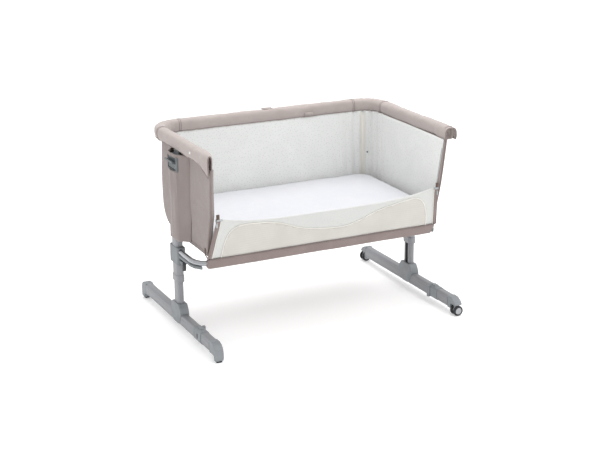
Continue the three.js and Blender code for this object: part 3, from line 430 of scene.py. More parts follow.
def tube(points, radius, sides=8, closed=False):
    """Points and faces of a round tube along a line, with flat ends unless it is closed."""
    line = [Vector(p) for p in points]
    count = len(line)
    rings = []
    side = None
    for index, point in enumerate(line):
        before = line[index - 1] if index or closed else point
        after = line[(index + 1) % count] if index < count - 1 or closed else point
        along = (after - before).normalized()
        guess = side if side is not None else along.orthogonal()
        side = (guess - along * guess.dot(along)).normalized()
        other = along.cross(side)
        for angle in spokes(sides):
            rings.append(point + radius * (math.cos(angle) * side + math.sin(angle) * other))
    if not closed:
        return rings, capped_faces(count, sides)
    faces = grid_faces(count, sides, ring=True)
    last = (count - 1) * sides
    shift = min(range(sides), key=lambda k: (rings[last] - rings[k]).length)
    for step in range(sides):
        after = (step + 1) % sides
        faces.append((last + step, last + after, (after + shift) % sides, (step + shift) % sides))
    return rings, faces


def ride(thing, body="tub"):
    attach(thing, body)
    return thing


def add_trim(name, shapes, material, body="tub"):
    """Joins closed shapes, each its points and faces, into one piece that rides on a body."""
    points = []
    faces = []
    for shape_points, shape_faces in shapes:
        start = len(points)
        points.extend(shape_points)
        faces.extend(tuple(start + index for index in face) for face in shape_faces)
    return ride(outward(new_object(name, points, faces, [material])), body)


def thicken(cloth, thickness, offset=0):
    """Gives a sheet its thickness: offset 0 is half on each side, -1 all behind, 1 all in front."""
    thick = cloth.modifiers.new("cloth", "SOLIDIFY")
    thick.thickness = thickness
    thick.offset = offset
    return thick


def block(middle, half):
    """A small chamfered block, reaching half its size each way from its middle."""
    mesh = bmesh.new()
    bmesh.ops.create_cube(mesh, size=2)
    for vertex in mesh.verts:
        vertex.co = Vector([vertex.co[k] * half[k] for k in range(3)])
    bmesh.ops.bevel(mesh, geom=mesh.edges[:], offset=0.25 * min(half), segments=2, affect="EDGES")
    points = [Vector(middle) + vertex.co for vertex in mesh.verts]
    mesh.verts.index_update()
    faces = [tuple(vertex.index for vertex in face.verts) for face in mesh.faces]
    mesh.free()
    return points, faces


def smooth_noise(x, y, seed=0.0):
    return noise.noise(Vector((x, y, seed)))


def near(value, centre, width):
    """1 at the centre, falling smoothly to 0 one width away on either side."""
    gap = abs(value - centre) / width
    return 0.0 if gap >= 1 else (1 - gap * gap) ** 2


def clamped(share):
    return min(1, max(0, share))


# ---- the U-shaped plan
class UPlan:
    """A U seen from above: up the left side, across the back and down the right side.

    Each station has its place, its outward direction and how far it is from the bend, 0, towards the
    front end, 1. On the sides its y follows the front edge, which can differ with the height. Its
    length is measured along the U from the left front end."""

    def __init__(self, half_x, back_y, bend, front, side_steps=60, bend_steps=14, back_steps=110):
        self.start = back_y - bend
        self.front = front
        run = half_x - bend
        side = [(-half_x, None, -1.0, 0.0, 1 - i / side_steps) for i in range(side_steps)]
        corner = []
        for i in range(bend_steps + 1):
            angle = math.pi / 2 * i / bend_steps
            out = (-math.cos(angle), math.sin(angle))
            corner.append((-run + bend * out[0], self.start + bend * out[1], *out, 0.0))
        back = []
        for i in range(1, back_steps):
            back.append((-run + 2 * run * i / back_steps, back_y, 0.0, 1.0, 0.0))
        mirrored = [(-x, y, -nx, ny, k) for x, y, nx, ny, k in reversed(side + corner)]
        self.stations = side + corner + back + mirrored
        self.side = side_steps
        self.bend = bend_steps
        self.lengths = [0.0]
        for i in range(1, len(self.stations)):
            step = self.point(i, RAIL_Z, 0) - self.point(i - 1, RAIL_Z, 0)
            self.lengths.append(self.lengths[-1] + step.length)

    def point(self, index, z, out):
        x, y, nx, ny, share = self.stations[index]
        if y is None:
            y = (1 - share) * self.start + share * self.front(z)
        return Vector((x + nx * out, y + ny * out, z))

    def corner(self, side):
        """Length from the left front end to the middle of a rear corner."""
        index = self.side + self.bend // 2
        return self.lengths[index if side < 0 else len(self.stations) - 1 - index]


# ---- padded rail
def slack_at(place):
    """From 0, where the sleeve is stuffed, to 1 at its empty front ends."""
    return clamped(1 - (place.y + RAIL_FRONT) / SLACK_L)


def pressed(place):
    """Moves a point of the left end's sleeve towards its outer side, where the end is flat."""
    if place.x < 0:
        outer = -RAIL_X - RAIL_W / 2
        keep = 1 - (1 - SLACK_SHUT) * slack_at(place) ** 1.3
        place.x = outer + (place.x - outer) * keep
    return place


def rail_section(angle, grow=0.0):
    """The sleeve's outline: a soft square, a little fuller above than below."""
    power = 2 / 2.7
    c, s = math.cos(angle), math.sin(angle)
    out = math.copysign(abs(c) ** power, c) * (RAIL_W / 2 - 0.001 + grow)
    up = math.copysign(abs(s) ** power, s) * (RAIL_H / 2 - 0.0015 + grow)
    return out * (1 - 0.06 * (s < 0) * abs(s)), up


def rail_swell(plan, index, angle):
    """Stuffing shifts and pulls the sleeve in and out by a millimetre or so."""
    along = plan.lengths[index]
    bend = near(along, plan.corner(-1), 0.1) + near(along, plan.corner(1), 0.1)
    lumps = 0.0016 * smooth_noise(along * 16, 1.2 * angle, 3.0)
    creases = 0.0011 * smooth_noise(along * 55, 1.6 * angle, 9.0)
    gathers = 0.0013 * bend * math.sin(along * math.tau / 0.021) * (math.cos(angle) < 0.2)
    return lumps + creases + gathers


def add_rail():
    plan = UPlan(RAIL_X, RAIL_BACK, RAIL_BEND, lambda z: SLEEVE_IN - RAIL_FRONT)
    sides = 32
    count = len(plan.stations)
    points = []
    for index in range(count):
        for angle in spokes(sides):
            out, up = rail_section(angle, rail_swell(plan, index, angle))
            points.append(pressed(plan.point(index, RAIL_Z + up, out)))
    faces = grid_faces(count, sides, ring=True)
    for end in (0, count - 1):
        faces.extend(rail_end(points, plan, end, sides))
    # The sleeve takes the taupe cloth painted lighter, as painted light from above.
    sleeve = outward(new_object("rail_sleeve", points, faces, [RAIL_TAUPE_PAINTED_LIGHTER]))
    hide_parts("left_rail_pad", "back_rail_pad", "right_rail_pad")
    ride(sleeve)
    add_rail_trim(plan)


def rail_end(points, plan, end, sides):
    """Closes one front end with crumpled rings, each by its depth and its share of the size."""
    rings = [list(range(end * sides, (end + 1) * sides))]
    for depth, share in ((0.002, 0.86), (0.010, 0.78), (0.016, 0.55), (0.007, 0.34), (0.014, 0.12)):
        ring = []
        for angle in spokes(sides):
            out, up = rail_section(angle)
            crumple = 0.005 * smooth_noise(4 * math.cos(angle), 4 * math.sin(angle), share * 9)
            place = plan.point(end, RAIL_Z + share * up, share * out)
            place.y += depth + crumple
            ring.append(len(points))
            points.append(pressed(place))
        rings.append(ring)
    faces = []
    for outer, inner in zip(rings, rings[1:]):
        for step in range(sides):
            after = (step + 1) % sides
            faces.append((outer[step], outer[after], inner[after], inner[step]))
    faces.append(tuple(rings[-1]))
    return faces


def arch_line(side, slack):
    """The slack cloth round the sleeve, then down its outer side: outward places and heights."""
    turns = 22
    drops = 10
    line = []
    for step in range(turns + 1):
        angle = math.radians(SLACK_TURN * (1 - step / turns))
        out, up = rail_section(angle, -0.0008 + 0.0026 * min(1, 3 * slack))
        line.append((out, RAIL_Z + up - SLACK_DROOP * slack * (side > 0)))
    edge, top = line[-1]
    low = (RAIL_Z - RAIL_H / 2 + 0.006) * (1 - slack) + SLACK_LOW[side] * slack
    for step in range(1, drops + 1):
        share = step / drops
        line.append((edge - 0.003 * share * share, top + (low - top) * share))
    return line


def add_slack_ends():
    rows = 16
    pitch = 0.005
    for name, side in SIDES:
        points = []
        places = []
        for row in range(rows):
            back = SLACK_L * row / (rows - 1)
            for index, (out, z) in enumerate(arch_line(side, 1 - row / (rows - 1))):
                ripple = 0.0014 * smooth_noise(back * 60, index * 0.5, 4.0 + side)
                place = Vector((side * (RAIL_X + out + ripple), back - RAIL_FRONT, z))
                points.append(pressed(place))
                places.append((back, index * pitch))
        columns = len(points) // rows
        faces = grid_faces(rows, columns, flip=side > 0)
        # The slack cloth takes the taupe cloth painted lighter, as painted light from above.
        cloth = new_object(f"{name}_rail_slack", points, faces, [RAIL_TAUPE_PAINTED_LIGHTER], places)
        thicken(cloth, 0.0016)
        ride(cloth)
        edge = tube([point + Vector((0, -0.0006, 0)) for point in points[:columns]], 0.0021)
        add_trim(f"{name}_rail_end_piping", [edge], MAUVE)
        hem = tube(points[columns - 1 :: columns], 0.0020)
        add_trim(f"{name}_rail_end_hem", [hem], DARK_SEAM)


def rail_loop(plan, index):
    """A line round the sleeve at one station."""
    line = []
    for angle in spokes(40):
        out, up = rail_section(angle, rail_swell(plan, index, angle) + SEAM_LIFT)
        line.append(plan.point(index, RAIL_Z + up, out))
    return line


def rail_lengthwise(plan, angle):
    """A line along the whole sleeve at one angle round it."""
    line = []
    for index in range(len(plan.stations)):
        out, up = rail_section(angle, rail_swell(plan, index, angle) + SEAM_LIFT)
        line.append(pressed(plan.point(index, RAIL_Z + up, out)))
    return line


def add_rail_trim(plan):
    """Paired seams round the sleeve beside each bend, and one along each of its lower edges."""
    last = len(plan.stations) - 1
    bend_from = plan.side - 2
    bend_to = plan.side + plan.bend + 2
    seams = []
    for index in (bend_from, bend_from + 1, bend_to, bend_to + 1):
        for station in (index, last - index):
            seams.append(tube(rail_loop(plan, station), SEAM_R, 6, closed=True))
    for angle in (-38, 218):
        seams.append(tube(rail_lengthwise(plan, math.radians(angle)), SEAM_R, 6))
    add_trim("rail_seams", seams, DARK_SEAM)
    add_slack_ends()


# ---- fabric walls
def zip_edge(z):
    """y of the end walls' front edge: it leans forward above the zip's end and back below it."""
    lean = -ZIP_LEAN if z > ZIP_AT[1] else FOOT_LEAN
    return ZIP_AT[0] + lean * abs(z - ZIP_AT[1])


def tucked(plan, index, z):
    """The walls' lower edge curves in round the rear of the tub."""
    rear = clamped((plan.point(index, z, 0).y - TUCK_Y) / TUCK_RUN)
    low = clamped((TUCK_FROM - z) / (TUCK_FROM - WALL_FOOT))
    return rear * (1 - math.sqrt(1 - 0.96 * low * low))


def sway_rise(z):
    return clamped((z - SWAY_FROM) / (WALL_TOP - SWAY_FROM))


def swayed(plan, index, z):
    """Towards their upper front corners the end walls stand off the upright plane."""
    x, _, _, _, front_share = plan.stations[index]
    return SWAY[-1 if x < 0 else 1] * sway_rise(z) * front_share**4


def wall_out(plan, index, z):
    """How far the outer face stands out at a point: padding and soft creases."""
    along = plan.lengths[index]
    share = (z - WALL_FOOT) / (WALL_TOP - WALL_FOOT)
    crown = 0.0022 * math.sin(math.pi * clamped(share))
    creases = 0.0016 * smooth_noise(along * 11, z * 7, 1.0)
    return crown + creases - 0.001 - TUCK_IN * tucked(plan, index, z) + swayed(plan, index, z)


def wall_in(plan, index, z):
    """How far the lining stands in: loose cloth, and upright pleats at both rear corners."""
    along = plan.lengths[index]
    corner = near(along, plan.corner(-1), 0.11) + near(along, plan.corner(1), 0.16)
    phase = along * math.tau / PLEAT_PITCH + 1.5 * smooth_noise(z * 6, 2, 4)
    pleats = PLEAT * corner * math.sin(phase)
    loose = 0.0024 * smooth_noise(along * 9, z * 8, 5.0)
    tuck = TUCK_IN / 2 * tucked(plan, index, z)
    return 0.001 + pleats + loose + tuck - swayed(plan, index, z)


def add_walls():
    plan = UPlan(WALL_X, WALL_BACK, WALL_BEND, zip_edge)
    count = len(plan.stations)
    rows = 34
    heights = [WALL_FOOT + (WALL_TOP - WALL_FOOT) * row / (rows - 1) for row in range(rows)]
    outer = []
    inner = []
    places = []
    for z in heights:
        for index in range(count):
            outer.append(plan.point(index, z, wall_out(plan, index, z)))
            inner.append(plan.point(index, z, -WALL_T + 0.002 - wall_in(plan, index, z)))
            places.append((plan.lengths[index], z))
    points = outer + inner
    start = len(outer)
    faces = grid_faces(rows, count, flip=True)
    shares = [0] * len(faces)
    lining = grid_faces(rows, count, start=start)
    faces.extend(lining)
    shares.extend([1] * len(lining))
    rim = list(range(count))
    rim.extend((row + 1) * count - 1 for row in range(1, rows))
    rim.extend((rows - 1) * count + index for index in range(count - 2, -1, -1))
    rim.extend(row * count for row in range(rows - 2, 0, -1))
    for first, second in zip(rim, rim[1:] + rim[:1]):
        faces.append((first, second, start + second, start + first))
        shares.append(0)
    walls = new_object("tub_walls", points, faces, [TAUPE, LINING], places + places, shares)
    outward(walls)
    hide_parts("left_end_panel", "right_end_panel", "back_panel")
    ride(walls)
    add_wall_trim(plan, heights)


def wall_upright(plan, index, heights, lift):
    """A line up the walls' outer face at one station."""
    return [plan.point(index, z, wall_out(plan, index, z) + lift) for z in heights]


def wall_level(plan, z, lift):
    """A line round the walls' outer face at one height."""
    return [plan.point(i, z, wall_out(plan, i, z) + lift) for i in range(len(plan.stations))]


def add_wall_trim(plan, heights):
    last = len(plan.stations) - 1
    low = heights[0] + 0.001
    hem = tube(wall_level(plan, low, -0.001), PIPING_R)
    stitches = tube(wall_level(plan, low + HEM_W, 0.0002), SEAM_R, 6)
    add_trim("wall_hem", [hem, stitches], DARK_SEAM)
    piping = []
    for end in (0, last):
        edge = wall_upright(plan, end, heights, -0.001)
        for place in edge:
            place.y -= 0.0012
        piping.append(tube(edge, PIPING_R))
    add_trim("wall_edge_piping", piping, MAUVE)
    add_corner_strips(plan, heights)
    left = min(range(plan.side), key=lambda i: abs(plan.point(i, RAIL_Z, 0).y - PANEL_SEAM_Y))
    seams = [tube(wall_upright(plan, i, heights, 0.0003), SEAM_R, 6) for i in (left, last - left)]
    add_trim("wall_seams", seams, DARK_SEAM)


def add_corner_strips(plan, heights):
    """A cream strip of binding stands up each rear corner, with a stud beside it."""
    levels = heights[4:-1]
    for name, side in SIDES:
        stations = []
        for index, station in enumerate(plan.stations):
            across = side * plan.point(index, RAIL_Z, -WALL_T).x
            if station[1] is not None and SEAM_STRIP[0] < across < SEAM_STRIP[1]:
                stations.append(index)
        points = []
        for z in levels:
            for index in stations:
                points.append(plan.point(index, z, 0.0006 - WALL_T - wall_in(plan, index, z)))
        faces = grid_faces(len(levels), len(stations))
        strip = new_object(f"{name}_corner_strip", points, faces, [CREAM])
        thicken(strip, 0.0014)
        ride(strip)
        place = plan.point(stations[0 if side < 0 else -1], STUD_Z, -WALL_T - 0.001)
        place.x += side * 0.006
        place.y -= 0.007
        stud = lens(place, (-0.6 * side, -1, 0), 0.0035)
        add_trim(f"{name}_corner_stud", [stud], GREY)


# ---- drop-down front
def front_plane(z):
    """y of the low front wall at a height."""
    return FRONT_AT[0] + FRONT_LEAN * (FRONT_AT[1] - z)


def fold_z(x):
    """The folded edge sags between the zips' ends."""
    return FOLD_MIDDLE + FOLD_RISE * abs(x / FLAP_HALF) ** 4


def flap_half(z):
    return FLAP_HALF + FLAP_FLARE * clamped((FOLD_AXIS[1] - z) / FLAP_H)


def flap_point(x, z, lift=0.0):
    """A point on the hanging flap's outer side, with the cloth's own shallow waves."""
    wave = 0.0022 * smooth_noise(x * 7, z * 9, 11.0) * min(1, (fold_z(x) - z) / 0.03)
    slope = math.hypot(1, FRONT_LEAN)
    y = front_plane(z) - FLAP_OFF + wave
    return Vector((x, y - lift / slope, z - lift * FRONT_LEAN / slope))


def front_profile(share):
    """The part of the cloth at a share of its length, and how far along that part it is."""
    if share <= WALL_END:
        return "wall", share / WALL_END
    if share <= FOLD_END:
        return "fold", (share - WALL_END) / (FOLD_END - WALL_END)
    return "flap", (share - FOLD_END) / (1 - FOLD_END)


def front_point(x, share):
    name, part = front_profile(share)
    top = fold_z(x)
    if name == "wall":
        z = FRONT_FOOT + part * (top - FRONT_FOOT)
        return Vector((x, front_plane(z) + FRONT_NEAR, z))
    if name == "fold":
        angle = math.pi * part
        radius = (FRONT_NEAR + FLAP_OFF) / 2
        y = front_plane(top) + (FRONT_NEAR - FLAP_OFF) / 2 + radius * math.cos(angle)
        return Vector((x, y, top + 0.8 * radius * math.sin(angle)))
    return flap_point(x, top - part * (top - HEM_TOP))


def add_drop_front():
    rows = 61
    columns = 141
    points = []
    places = []
    for row in range(rows):
        share = row / (rows - 1)
        name, part = front_profile(share)
        half = FLAP_HALF + (FLAP_FLARE * part if name == "flap" else 0)
        for column in range(columns):
            across = 2 * column / (columns - 1) - 1
            points.append(front_point(across * half, share))
            places.append((across * half, share * FRONT_PATTERN))
    faces = grid_faces(rows, columns, flip=True)
    # The flap's inner side takes the white lining painted darker, as painted shade.
    front = new_object("drop_front", points, faces, [FLAP_LINING_PAINTED_SHADE, TAUPE], places)
    thick = thicken(front, CLOTH_T, -1)
    thick.material_offset = 1
    thick.material_offset_rim = 1
    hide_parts("front_wall", "front_flap")
    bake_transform(front)
    hem = add_hem()
    window = add_window()
    edges = add_flap_edges()


def add_hem():
    """The hem: a flat padded tube of binding, fuller at its lower edge."""
    columns = 121
    sides = 20
    height = HEM_TOP - FLAP_LOW
    middle = (HEM_TOP + FLAP_LOW) / 2
    outline = []
    for angle in spokes(sides):
        c, s = math.cos(angle), math.sin(angle)
        up = math.copysign(abs(s) ** 0.5, s) * height / 2
        out = math.copysign(abs(c) ** 0.8, c) * (0.0036 - 0.0008 * s)
        outline.append((out, up))
    points = []
    top = []
    for column in range(columns):
        across = 2 * column / (columns - 1) - 1
        rise = 0.004 * near(abs(across), 1, 0.03)
        cut = HEM_CUT * max(0, across) ** 40
        for out, up in outline:
            z = middle + up * (1 - 0.35 * near(abs(across), 1, 0.02))
            x = across * (flap_half(z) + EDGE_BAND - 0.002) - cut * (HEM_TOP - z) / height
            pucker = 0.0006 * smooth_noise(x * 60, z * 20, 2.0)
            points.append(flap_point(x, z + rise, out + 0.0005 + pucker))
        x = across * (flap_half(HEM_TOP) + EDGE_BAND - 0.004)
        top.append(flap_point(x, HEM_TOP + 0.0005, 0.003))
    faces = capped_faces(columns, sides)
    hem = outward(new_object("flap_hem_band", points, faces, [MAUVE]))
    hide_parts("flap_hem")
    ride(hem, "drop_side")
    add_trim("flap_hem_seam", [tube(top, 0.0016)], DARK_SEAM, "drop_side")
    return hem


def smooth_line(corners, steps):
    """A Catmull-Rom curve through the corners."""
    line = []
    count = len(corners)
    for index in range(count - 1):
        a, b, c, d = (Vector(corners[min(count - 1, max(0, index + k))]) for k in (-1, 0, 1, 2))
        for step in range(steps):
            t = step / steps
            pulled = 2 * b + t * (c - a) + t * t * (2 * a - 5 * b + 4 * c - d)
            line.append(0.5 * (pulled + t * t * t * (3 * b - a - 3 * c + d)))
    line.append(Vector(corners[-1]))
    return line


def add_window():
    """A net panel with its own wavy binding, sewn on the flap."""
    pitch = 0.010
    curve = [Vector((p.x, HEM_TOP + p.y)) for p in smooth_line(WINDOW, 6)]
    foot = [curve[-1].lerp(curve[0], step / 60) for step in range(1, 60)]
    outline = curve + foot
    edges = [(i, (i + 1) % len(outline)) for i in range(len(outline))]
    inside = []
    for row in range(1, 12):
        for column in range(-38, 39):
            inside.append(Vector((column * pitch, HEM_TOP + row * pitch)))
    flat, _, faces, *_ = delaunay_2d_cdt(outline + inside, edges, [], 1, 1e-6)
    points = [flap_point(p.x, p.y, 0.0006) for p in flat]
    window = new_object("flap_window", points, faces, [MESH])
    for polygon in window.data.polygons:
        if polygon.normal.y > 0:
            polygon.flip()
    thicken(window, 0.0008, 1)
    ride(window, "drop_side")
    binding = tube([flap_point(p.x, p.y, 0.0014) for p in curve], 0.0014)
    add_trim("window_binding", [binding], CREAM, "drop_side")
    return window


def add_flap_edges():
    """A mauve band with piping, and half of a zip, down each free side of the flap."""
    steps = 30
    top = fold_z(FLAP_HALF)
    made = []
    for name, side in SIDES:
        line = []
        strip = []
        for step in range(steps + 1):
            z = top - step / steps * (top - HEM_TOP)
            line.append(flap_point(side * (flap_half(z) + EDGE_BAND), z))
        for p in line:
            strip.append(flap_point(side * (flap_half(p.z) - 0.001), p.z, 0.0006))
            strip.append(p)
        piping = [tube(line, PIPING_R)]
        made.append(add_trim(f"{name}_flap_piping", piping, MAUVE, "drop_side"))
        faces = grid_faces(len(line), 2, flip=side > 0)
        band = new_object(f"{name}_flap_band", strip, faces, [MAUVE])
        thicken(band, 0.0014)
        made.append(ride(band, "drop_side"))
        tape = [flap_point(side * (flap_half(p.z) - 0.003), p.z, 0.0012) for p in line[1:]]
        teeth = [tube(tape, 0.0011, 6)]
        made.append(add_trim(f"{name}_flap_zip", teeth, CREAM, "drop_side"))
    return made


def add_wall_zips():
    """Zip teeth up the front edge of each end wall, on the lining side."""
    for name, side in SIDES:
        teeth = []
        for step in range(int((WALL_TOP - ZIP_SHORT - ZIP_AT[1]) / TOOTH_PITCH)):
            z = ZIP_AT[1] + step * TOOTH_PITCH
            x = side * (WALL_X - WALL_T + 0.001 + SWAY[side] * sway_rise(z))
            teeth.append(block((x, zip_edge(z) + 0.003, z), TOOTH_HALF))
        add_trim(f"{name}_wall_zip", teeth, PALE)
        add_slider_trim(name, side)


def add_slider_trim(name, side):
    """A webbing tab and a flat pull on a zip's slider."""
    body = f"{name}_slider"
    low, high = (Vector(corner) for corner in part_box(f"{name}_zip_slider"))
    middle = (low + high) / 2
    tab = block(middle + Vector((-0.003 * side, -0.005, 0.021)), (0.0055, 0.0015, 0.009))
    pull = block(middle + Vector((-0.008 * side, -0.007, 0.011)), (0.010, 0.0012, 0.0030))
    add_trim(f"{name}_zip_tab", [tab], WEBBING, body)
    add_trim(f"{name}_zip_pull", [pull], PALE, body)


# ---- mattress
def puff(thing, voxel, pressure, cap, frames=20):
    """Fills a closed shape like a cushion, with no point moved further than the cap."""
    scene = bpy.context.scene
    bpy.context.view_layer.objects.active = thing
    remesh = thing.modifiers.new("remesh", "REMESH")
    remesh.mode = "VOXEL"
    remesh.voxel_size = voxel
    apply_modifiers(thing)
    before = [vertex.co.copy() for vertex in thing.data.vertices]
    cloth = thing.modifiers.new("cloth", "CLOTH")
    cloth.settings.use_pressure = True
    cloth.settings.uniform_pressure_force = pressure
    cloth.settings.effector_weights.gravity = 0
    for number in range(1, frames + 1):
        scene.frame_set(number)
    apply_modifiers(thing)
    scene.frame_set(1)
    for vertex, start in zip(thing.data.vertices, before):
        move = vertex.co - start
        if move.length > cap:
            vertex.co = start + move * (cap / move.length)


def apply_modifiers(thing):
    depsgraph = bpy.context.evaluated_depsgraph_get()
    data = bpy.data.meshes.new_from_object(thing.evaluated_get(depsgraph))
    thing.modifiers.clear()
    thing.data = data
    for polygon in data.polygons:
        polygon.use_smooth = True


def mattress_outline(inset, z):
    """The mattress seen from above: square in front, round at both rear corners."""
    half = MATTRESS_HIGH[0] - inset
    front = front_plane(z) + 0.009 + inset
    back = MATTRESS_HIGH[1] - 0.001 - inset
    bend = MATTRESS_BEND - inset
    nose = MATTRESS_NOSE - min(inset, 0.006)
    corners = (
        (half - nose, front + nose, nose, -math.pi / 2),
        (half - bend, back - bend, bend, 0),
        (bend - half, back - bend, bend, math.pi / 2),
        (nose - half, front + nose, nose, math.pi),
    )
    outline = []
    for x, y, radius, turn in corners:
        for step in range(9):
            angle = turn + math.pi / 2 * step / 8
            outline.append(Vector((x + radius * math.cos(angle), y + radius * math.sin(angle), z)))
    return outline


def add_mattress():
    low = MATTRESS_LOW[2] + 0.002
    top = MATTRESS_HIGH[2] - 0.002
    levels = (
        (low, 0.008), (low + 0.006, 0.002), (top - 0.016, 0.002), (top - 0.006, 0.005), (top, 0.014),
    )
    rings = [mattress_outline(inset, z) for z, inset in levels]
    points = [point for ring in rings for point in ring]
    faces = capped_faces(len(rings), len(rings[0]))
    pad = outward(new_object("mattress_pad", points, faces, [SHEET]))
    puff(pad, voxel=0.008, pressure=2.0, cap=0.003)
    for vertex in pad.data.vertices:
        x, y, z = vertex.co
        if z > top - 0.02:
            vertex.co.z += 0.0012 * smooth_noise(x * 9, y * 9, 7.0)
            vertex.co.z += 0.0006 * smooth_noise(x * 30, y * 12, 8.0)
    softer = pad.modifiers.new("softer", "SUBSURF")
    softer.render_levels = 1
    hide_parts("mattress")
    ride(pad, "bedding")


# ---- pocket over each upright
def pocket_line(z):
    """The pocket's plan at a height, from its front edge round the upright to its rear edge."""
    reach = POCKET_HIGH[0] - 0.001
    root = WALL_X + 0.001
    narrow = POCKET_NARROW * (1 - clamped((z - NARROW_FROM) / NARROW_RUN))
    front = POCKET_FRONT + narrow
    back = POCKET_BACK - narrow
    return (
        (root, front), (root + 0.008, front + 0.008), (reach - 0.012, -0.043), (reach - 0.002, -0.030),
        (reach, 0.0), (reach - 0.002, 0.030), (reach - 0.012, 0.043), (root + 0.008, back - 0.008),
        (root, back),
    )


def add_pocket(name, side):
    rows = 52
    low = POCKET_LOW[2]
    high = WALL_TOP - 0.006
    heights = [low + row / (rows - 1) * (high - low) for row in range(rows)]
    lines = [smooth_line(pocket_line(z), 7) for z in heights]
    columns = len(lines[0])
    points = []
    for level, line in zip(heights, lines):
        gather = 0.0028 * near(level, LEVER_LOW[2] - 0.05, 0.06)
        for index, place in enumerate(line):
            around = index / (columns - 1)
            z = level
            if level == low:
                z += 0.006 * smooth_noise(around * 5, 1.0, 6.0)
            sway = math.sin(math.pi * around)
            folds = 0.0030 * smooth_noise(around * 13, z * 5, 14.0) * sway
            folds += gather * math.sin(around * math.tau * 4.5) * sway
            points.append(Vector((side * (place.x + folds), place.y + 0.4 * folds, z)))
    faces = []
    for face in grid_faces(rows, columns, flip=side < 0):
        middle = sum((points[index] for index in face), Vector()) / 4
        beside = abs(middle.y) < LEVER_GAP and abs(middle.x) > WALL_X + 0.012
        if not (beside and LEVER_LOW[2] - 0.001 < middle.z < LEVER_TOP + 0.001):
            faces.append(face)
    sleeve = new_object(f"{name}_pocket_sleeve", points, faces, [TAUPE])
    thicken(sleeve, 0.0016, -1)
    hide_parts(f"{name}_pocket")
    ride(sleeve)


# ---- wheels
def add_wheel(end, place):
    node = f"right_{end}_wheel_{place}"
    low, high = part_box(node)
    middle = [(a + b) / 2 for a, b in zip(low, high)]
    half = (high[1] - low[1]) / 2
    radius = (high[2] - low[2]) / 2
    profile = (
        (0.0034, half - 0.001), (0.0050, half - 0.0008), (0.0058, half - 0.0022),
        (0.0108, half - 0.0026), (0.0116, half - 0.0006), (WHEEL_DISC_R, half - 0.0004),
        (0.0130, half - 0.0014), (radius - 0.0022, half - 0.0003), (radius - 0.0008, half - 0.0014),
        (radius, half - 0.0034), (radius, 0.0005),
    )
    profile += tuple((r, -y) for r, y in reversed(profile))
    sides = 48
    points = []
    for r, y in profile:
        for angle in spokes(sides):
            x = middle[0] + r * math.cos(angle)
            points.append(Vector((x, middle[1] + y, middle[2] + r * math.sin(angle))))
    faces = grid_faces(len(profile), sides, ring=True, loop=True)
    shares = [1 if profile[i // sides][0] < WHEEL_DISC_R else 0 for i in range(len(faces))]
    wheel = new_object(f"{end}_{place}_caster_wheel", points, faces, [RUBBER, PALE], shares=shares)
    outward(wheel)
    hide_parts(node)
    ride(wheel, f"{end}_wheel_{place}")


# ---- small trim
def add_snaps():
    """A press stud on the left sleeve, and a blank sewn tab inside and on top of the rear one."""
    place = (-RAIL_X - RAIL_W / 2 + 0.0005, RAIL_STUD_Y, RAIL_Z + 0.004)
    add_trim("rail_stud", [lens(place, (-1, 0, 0.1), 0.0045)], LINING)
    inside = (TAB_X, RAIL_BACK - RAIL_W / 2 - 0.0004, RAIL_Z - 0.008)
    top = (0.0, RAIL_BACK + 0.004, RAIL_HIGH[2] - 0.0012)
    tabs = [block(inside, (0.017, 0.0012, 0.007)), block(top, (0.018, 0.010, 0.0018))]
    # The tabs take the rail's taupe cloth painted lighter, as painted light from above.
    add_trim("sewn_tabs", tabs, RAIL_TAUPE_PAINTED_LIGHTER)


def lens(middle, facing, radius):
    """A shallow domed stud."""
    axis = Vector(facing).normalized()
    side = axis.orthogonal().normalized()
    other = axis.cross(side)
    sides = 20
    levels = ((1.0, -0.001), (1.0, 0.0006), (0.8, 0.0016), (0.4, 0.0022))
    points = []
    for share, rise in levels:
        for angle in spokes(sides):
            spoke = math.cos(angle) * side + math.sin(angle) * other
            points.append(Vector(middle) + axis * rise + spoke * radius * share)
    return points, capped_faces(len(levels), sides)


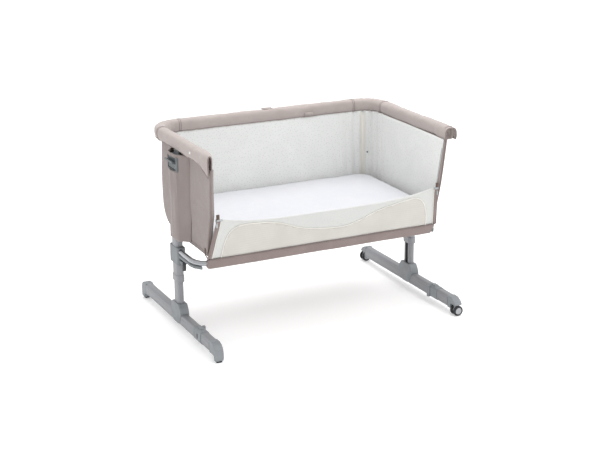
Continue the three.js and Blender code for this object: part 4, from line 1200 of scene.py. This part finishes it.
# ---- finish of the hard parts
def softened_edges():
    """A node group that shades smoothly except across edges sharper than 40 degrees."""
    group = bpy.data.node_groups.new("soft_edges", "GeometryNodeTree")
    for way in ("INPUT", "OUTPUT"):
        group.interface.new_socket("Geometry", in_out=way, socket_type="NodeSocketGeometry")
    nodes = group.nodes
    entry = nodes.new("NodeGroupInput")
    leave = nodes.new("NodeGroupOutput")
    smooth, sharp = (nodes.new("GeometryNodeSetShadeSmooth") for _ in range(2))
    sharp.domain = "EDGE"
    angle = nodes.new("GeometryNodeInputMeshEdgeAngle")
    compare = nodes.new("FunctionNodeCompare")
    compare.data_type = "FLOAT"
    compare.operation = "GREATER_THAN"
    compare.inputs["B"].default_value = math.radians(40)
    sharp.inputs["Shade Smooth"].default_value = False
    for first, second in ((entry, smooth), (smooth, sharp), (sharp, leave)):
        group.links.new(first.outputs["Geometry"], second.inputs["Geometry"])
    group.links.new(angle.outputs["Unsigned Angle"], compare.inputs["A"])
    group.links.new(compare.outputs["Result"], sharp.inputs["Selection"])
    return group


HARD_LOOKS = {
    "rail_tube": PAINT, "base_board": TAUPE, "frame_tube": STEEL,
    "upright": PAINT, "frame_housing": GREY, "frame_latch": DARK, "lock_pin": STEEL,
    "lever_block": GREY, "height_lever": SLATE, "zip_slider": PALE, "strap_loop": WEBBING,
    "leg": PAINT, "leg_foot": PALE_GREY, "bar": PAINT, "hinge_fixed": PALE_GREY, "hinge_pin": STEEL,
    "hinge_swing": PALE_GREY, "front_bar": PAINT, "latch_button": DARK, "front_cap": PALE_GREY,
    "back_cap": PALE_GREY, "front_pad": RUBBER, "back_pad": RUBBER, "front_axle": STEEL,
    "back_axle": STEEL,
}


def finish_hard_parts():
    group = softened_edges()
    for name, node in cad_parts.items():
        plain_name = name.removeprefix("left_").removeprefix("right_")
        look = HARD_LOOKS.get(plain_name)
        if look is None:
            continue
        node.data.materials.clear()
        node.data.materials.append(look)
        bevel = node.modifiers.new("edges", "BEVEL")
        bevel.width = 0.0006
        bevel.segments = 2
        bevel.limit_method = "ANGLE"
        bevel.angle_limit = math.radians(42)
        smooth = node.modifiers.new("soft_edges", "NODES")
        smooth.node_group = group


# ---- the scene
add_camera()
add_studio()
add_rail()
add_walls()
add_drop_front()
add_wall_zips()
add_mattress()
for side_name, side_sign in SIDES:
    add_pocket(side_name, side_sign)
for wheel_end in ("front", "back"):
    for wheel_place in ("outer", "inner"):
        add_wheel(wheel_end, wheel_place)
add_snaps()
finish_hard_parts()
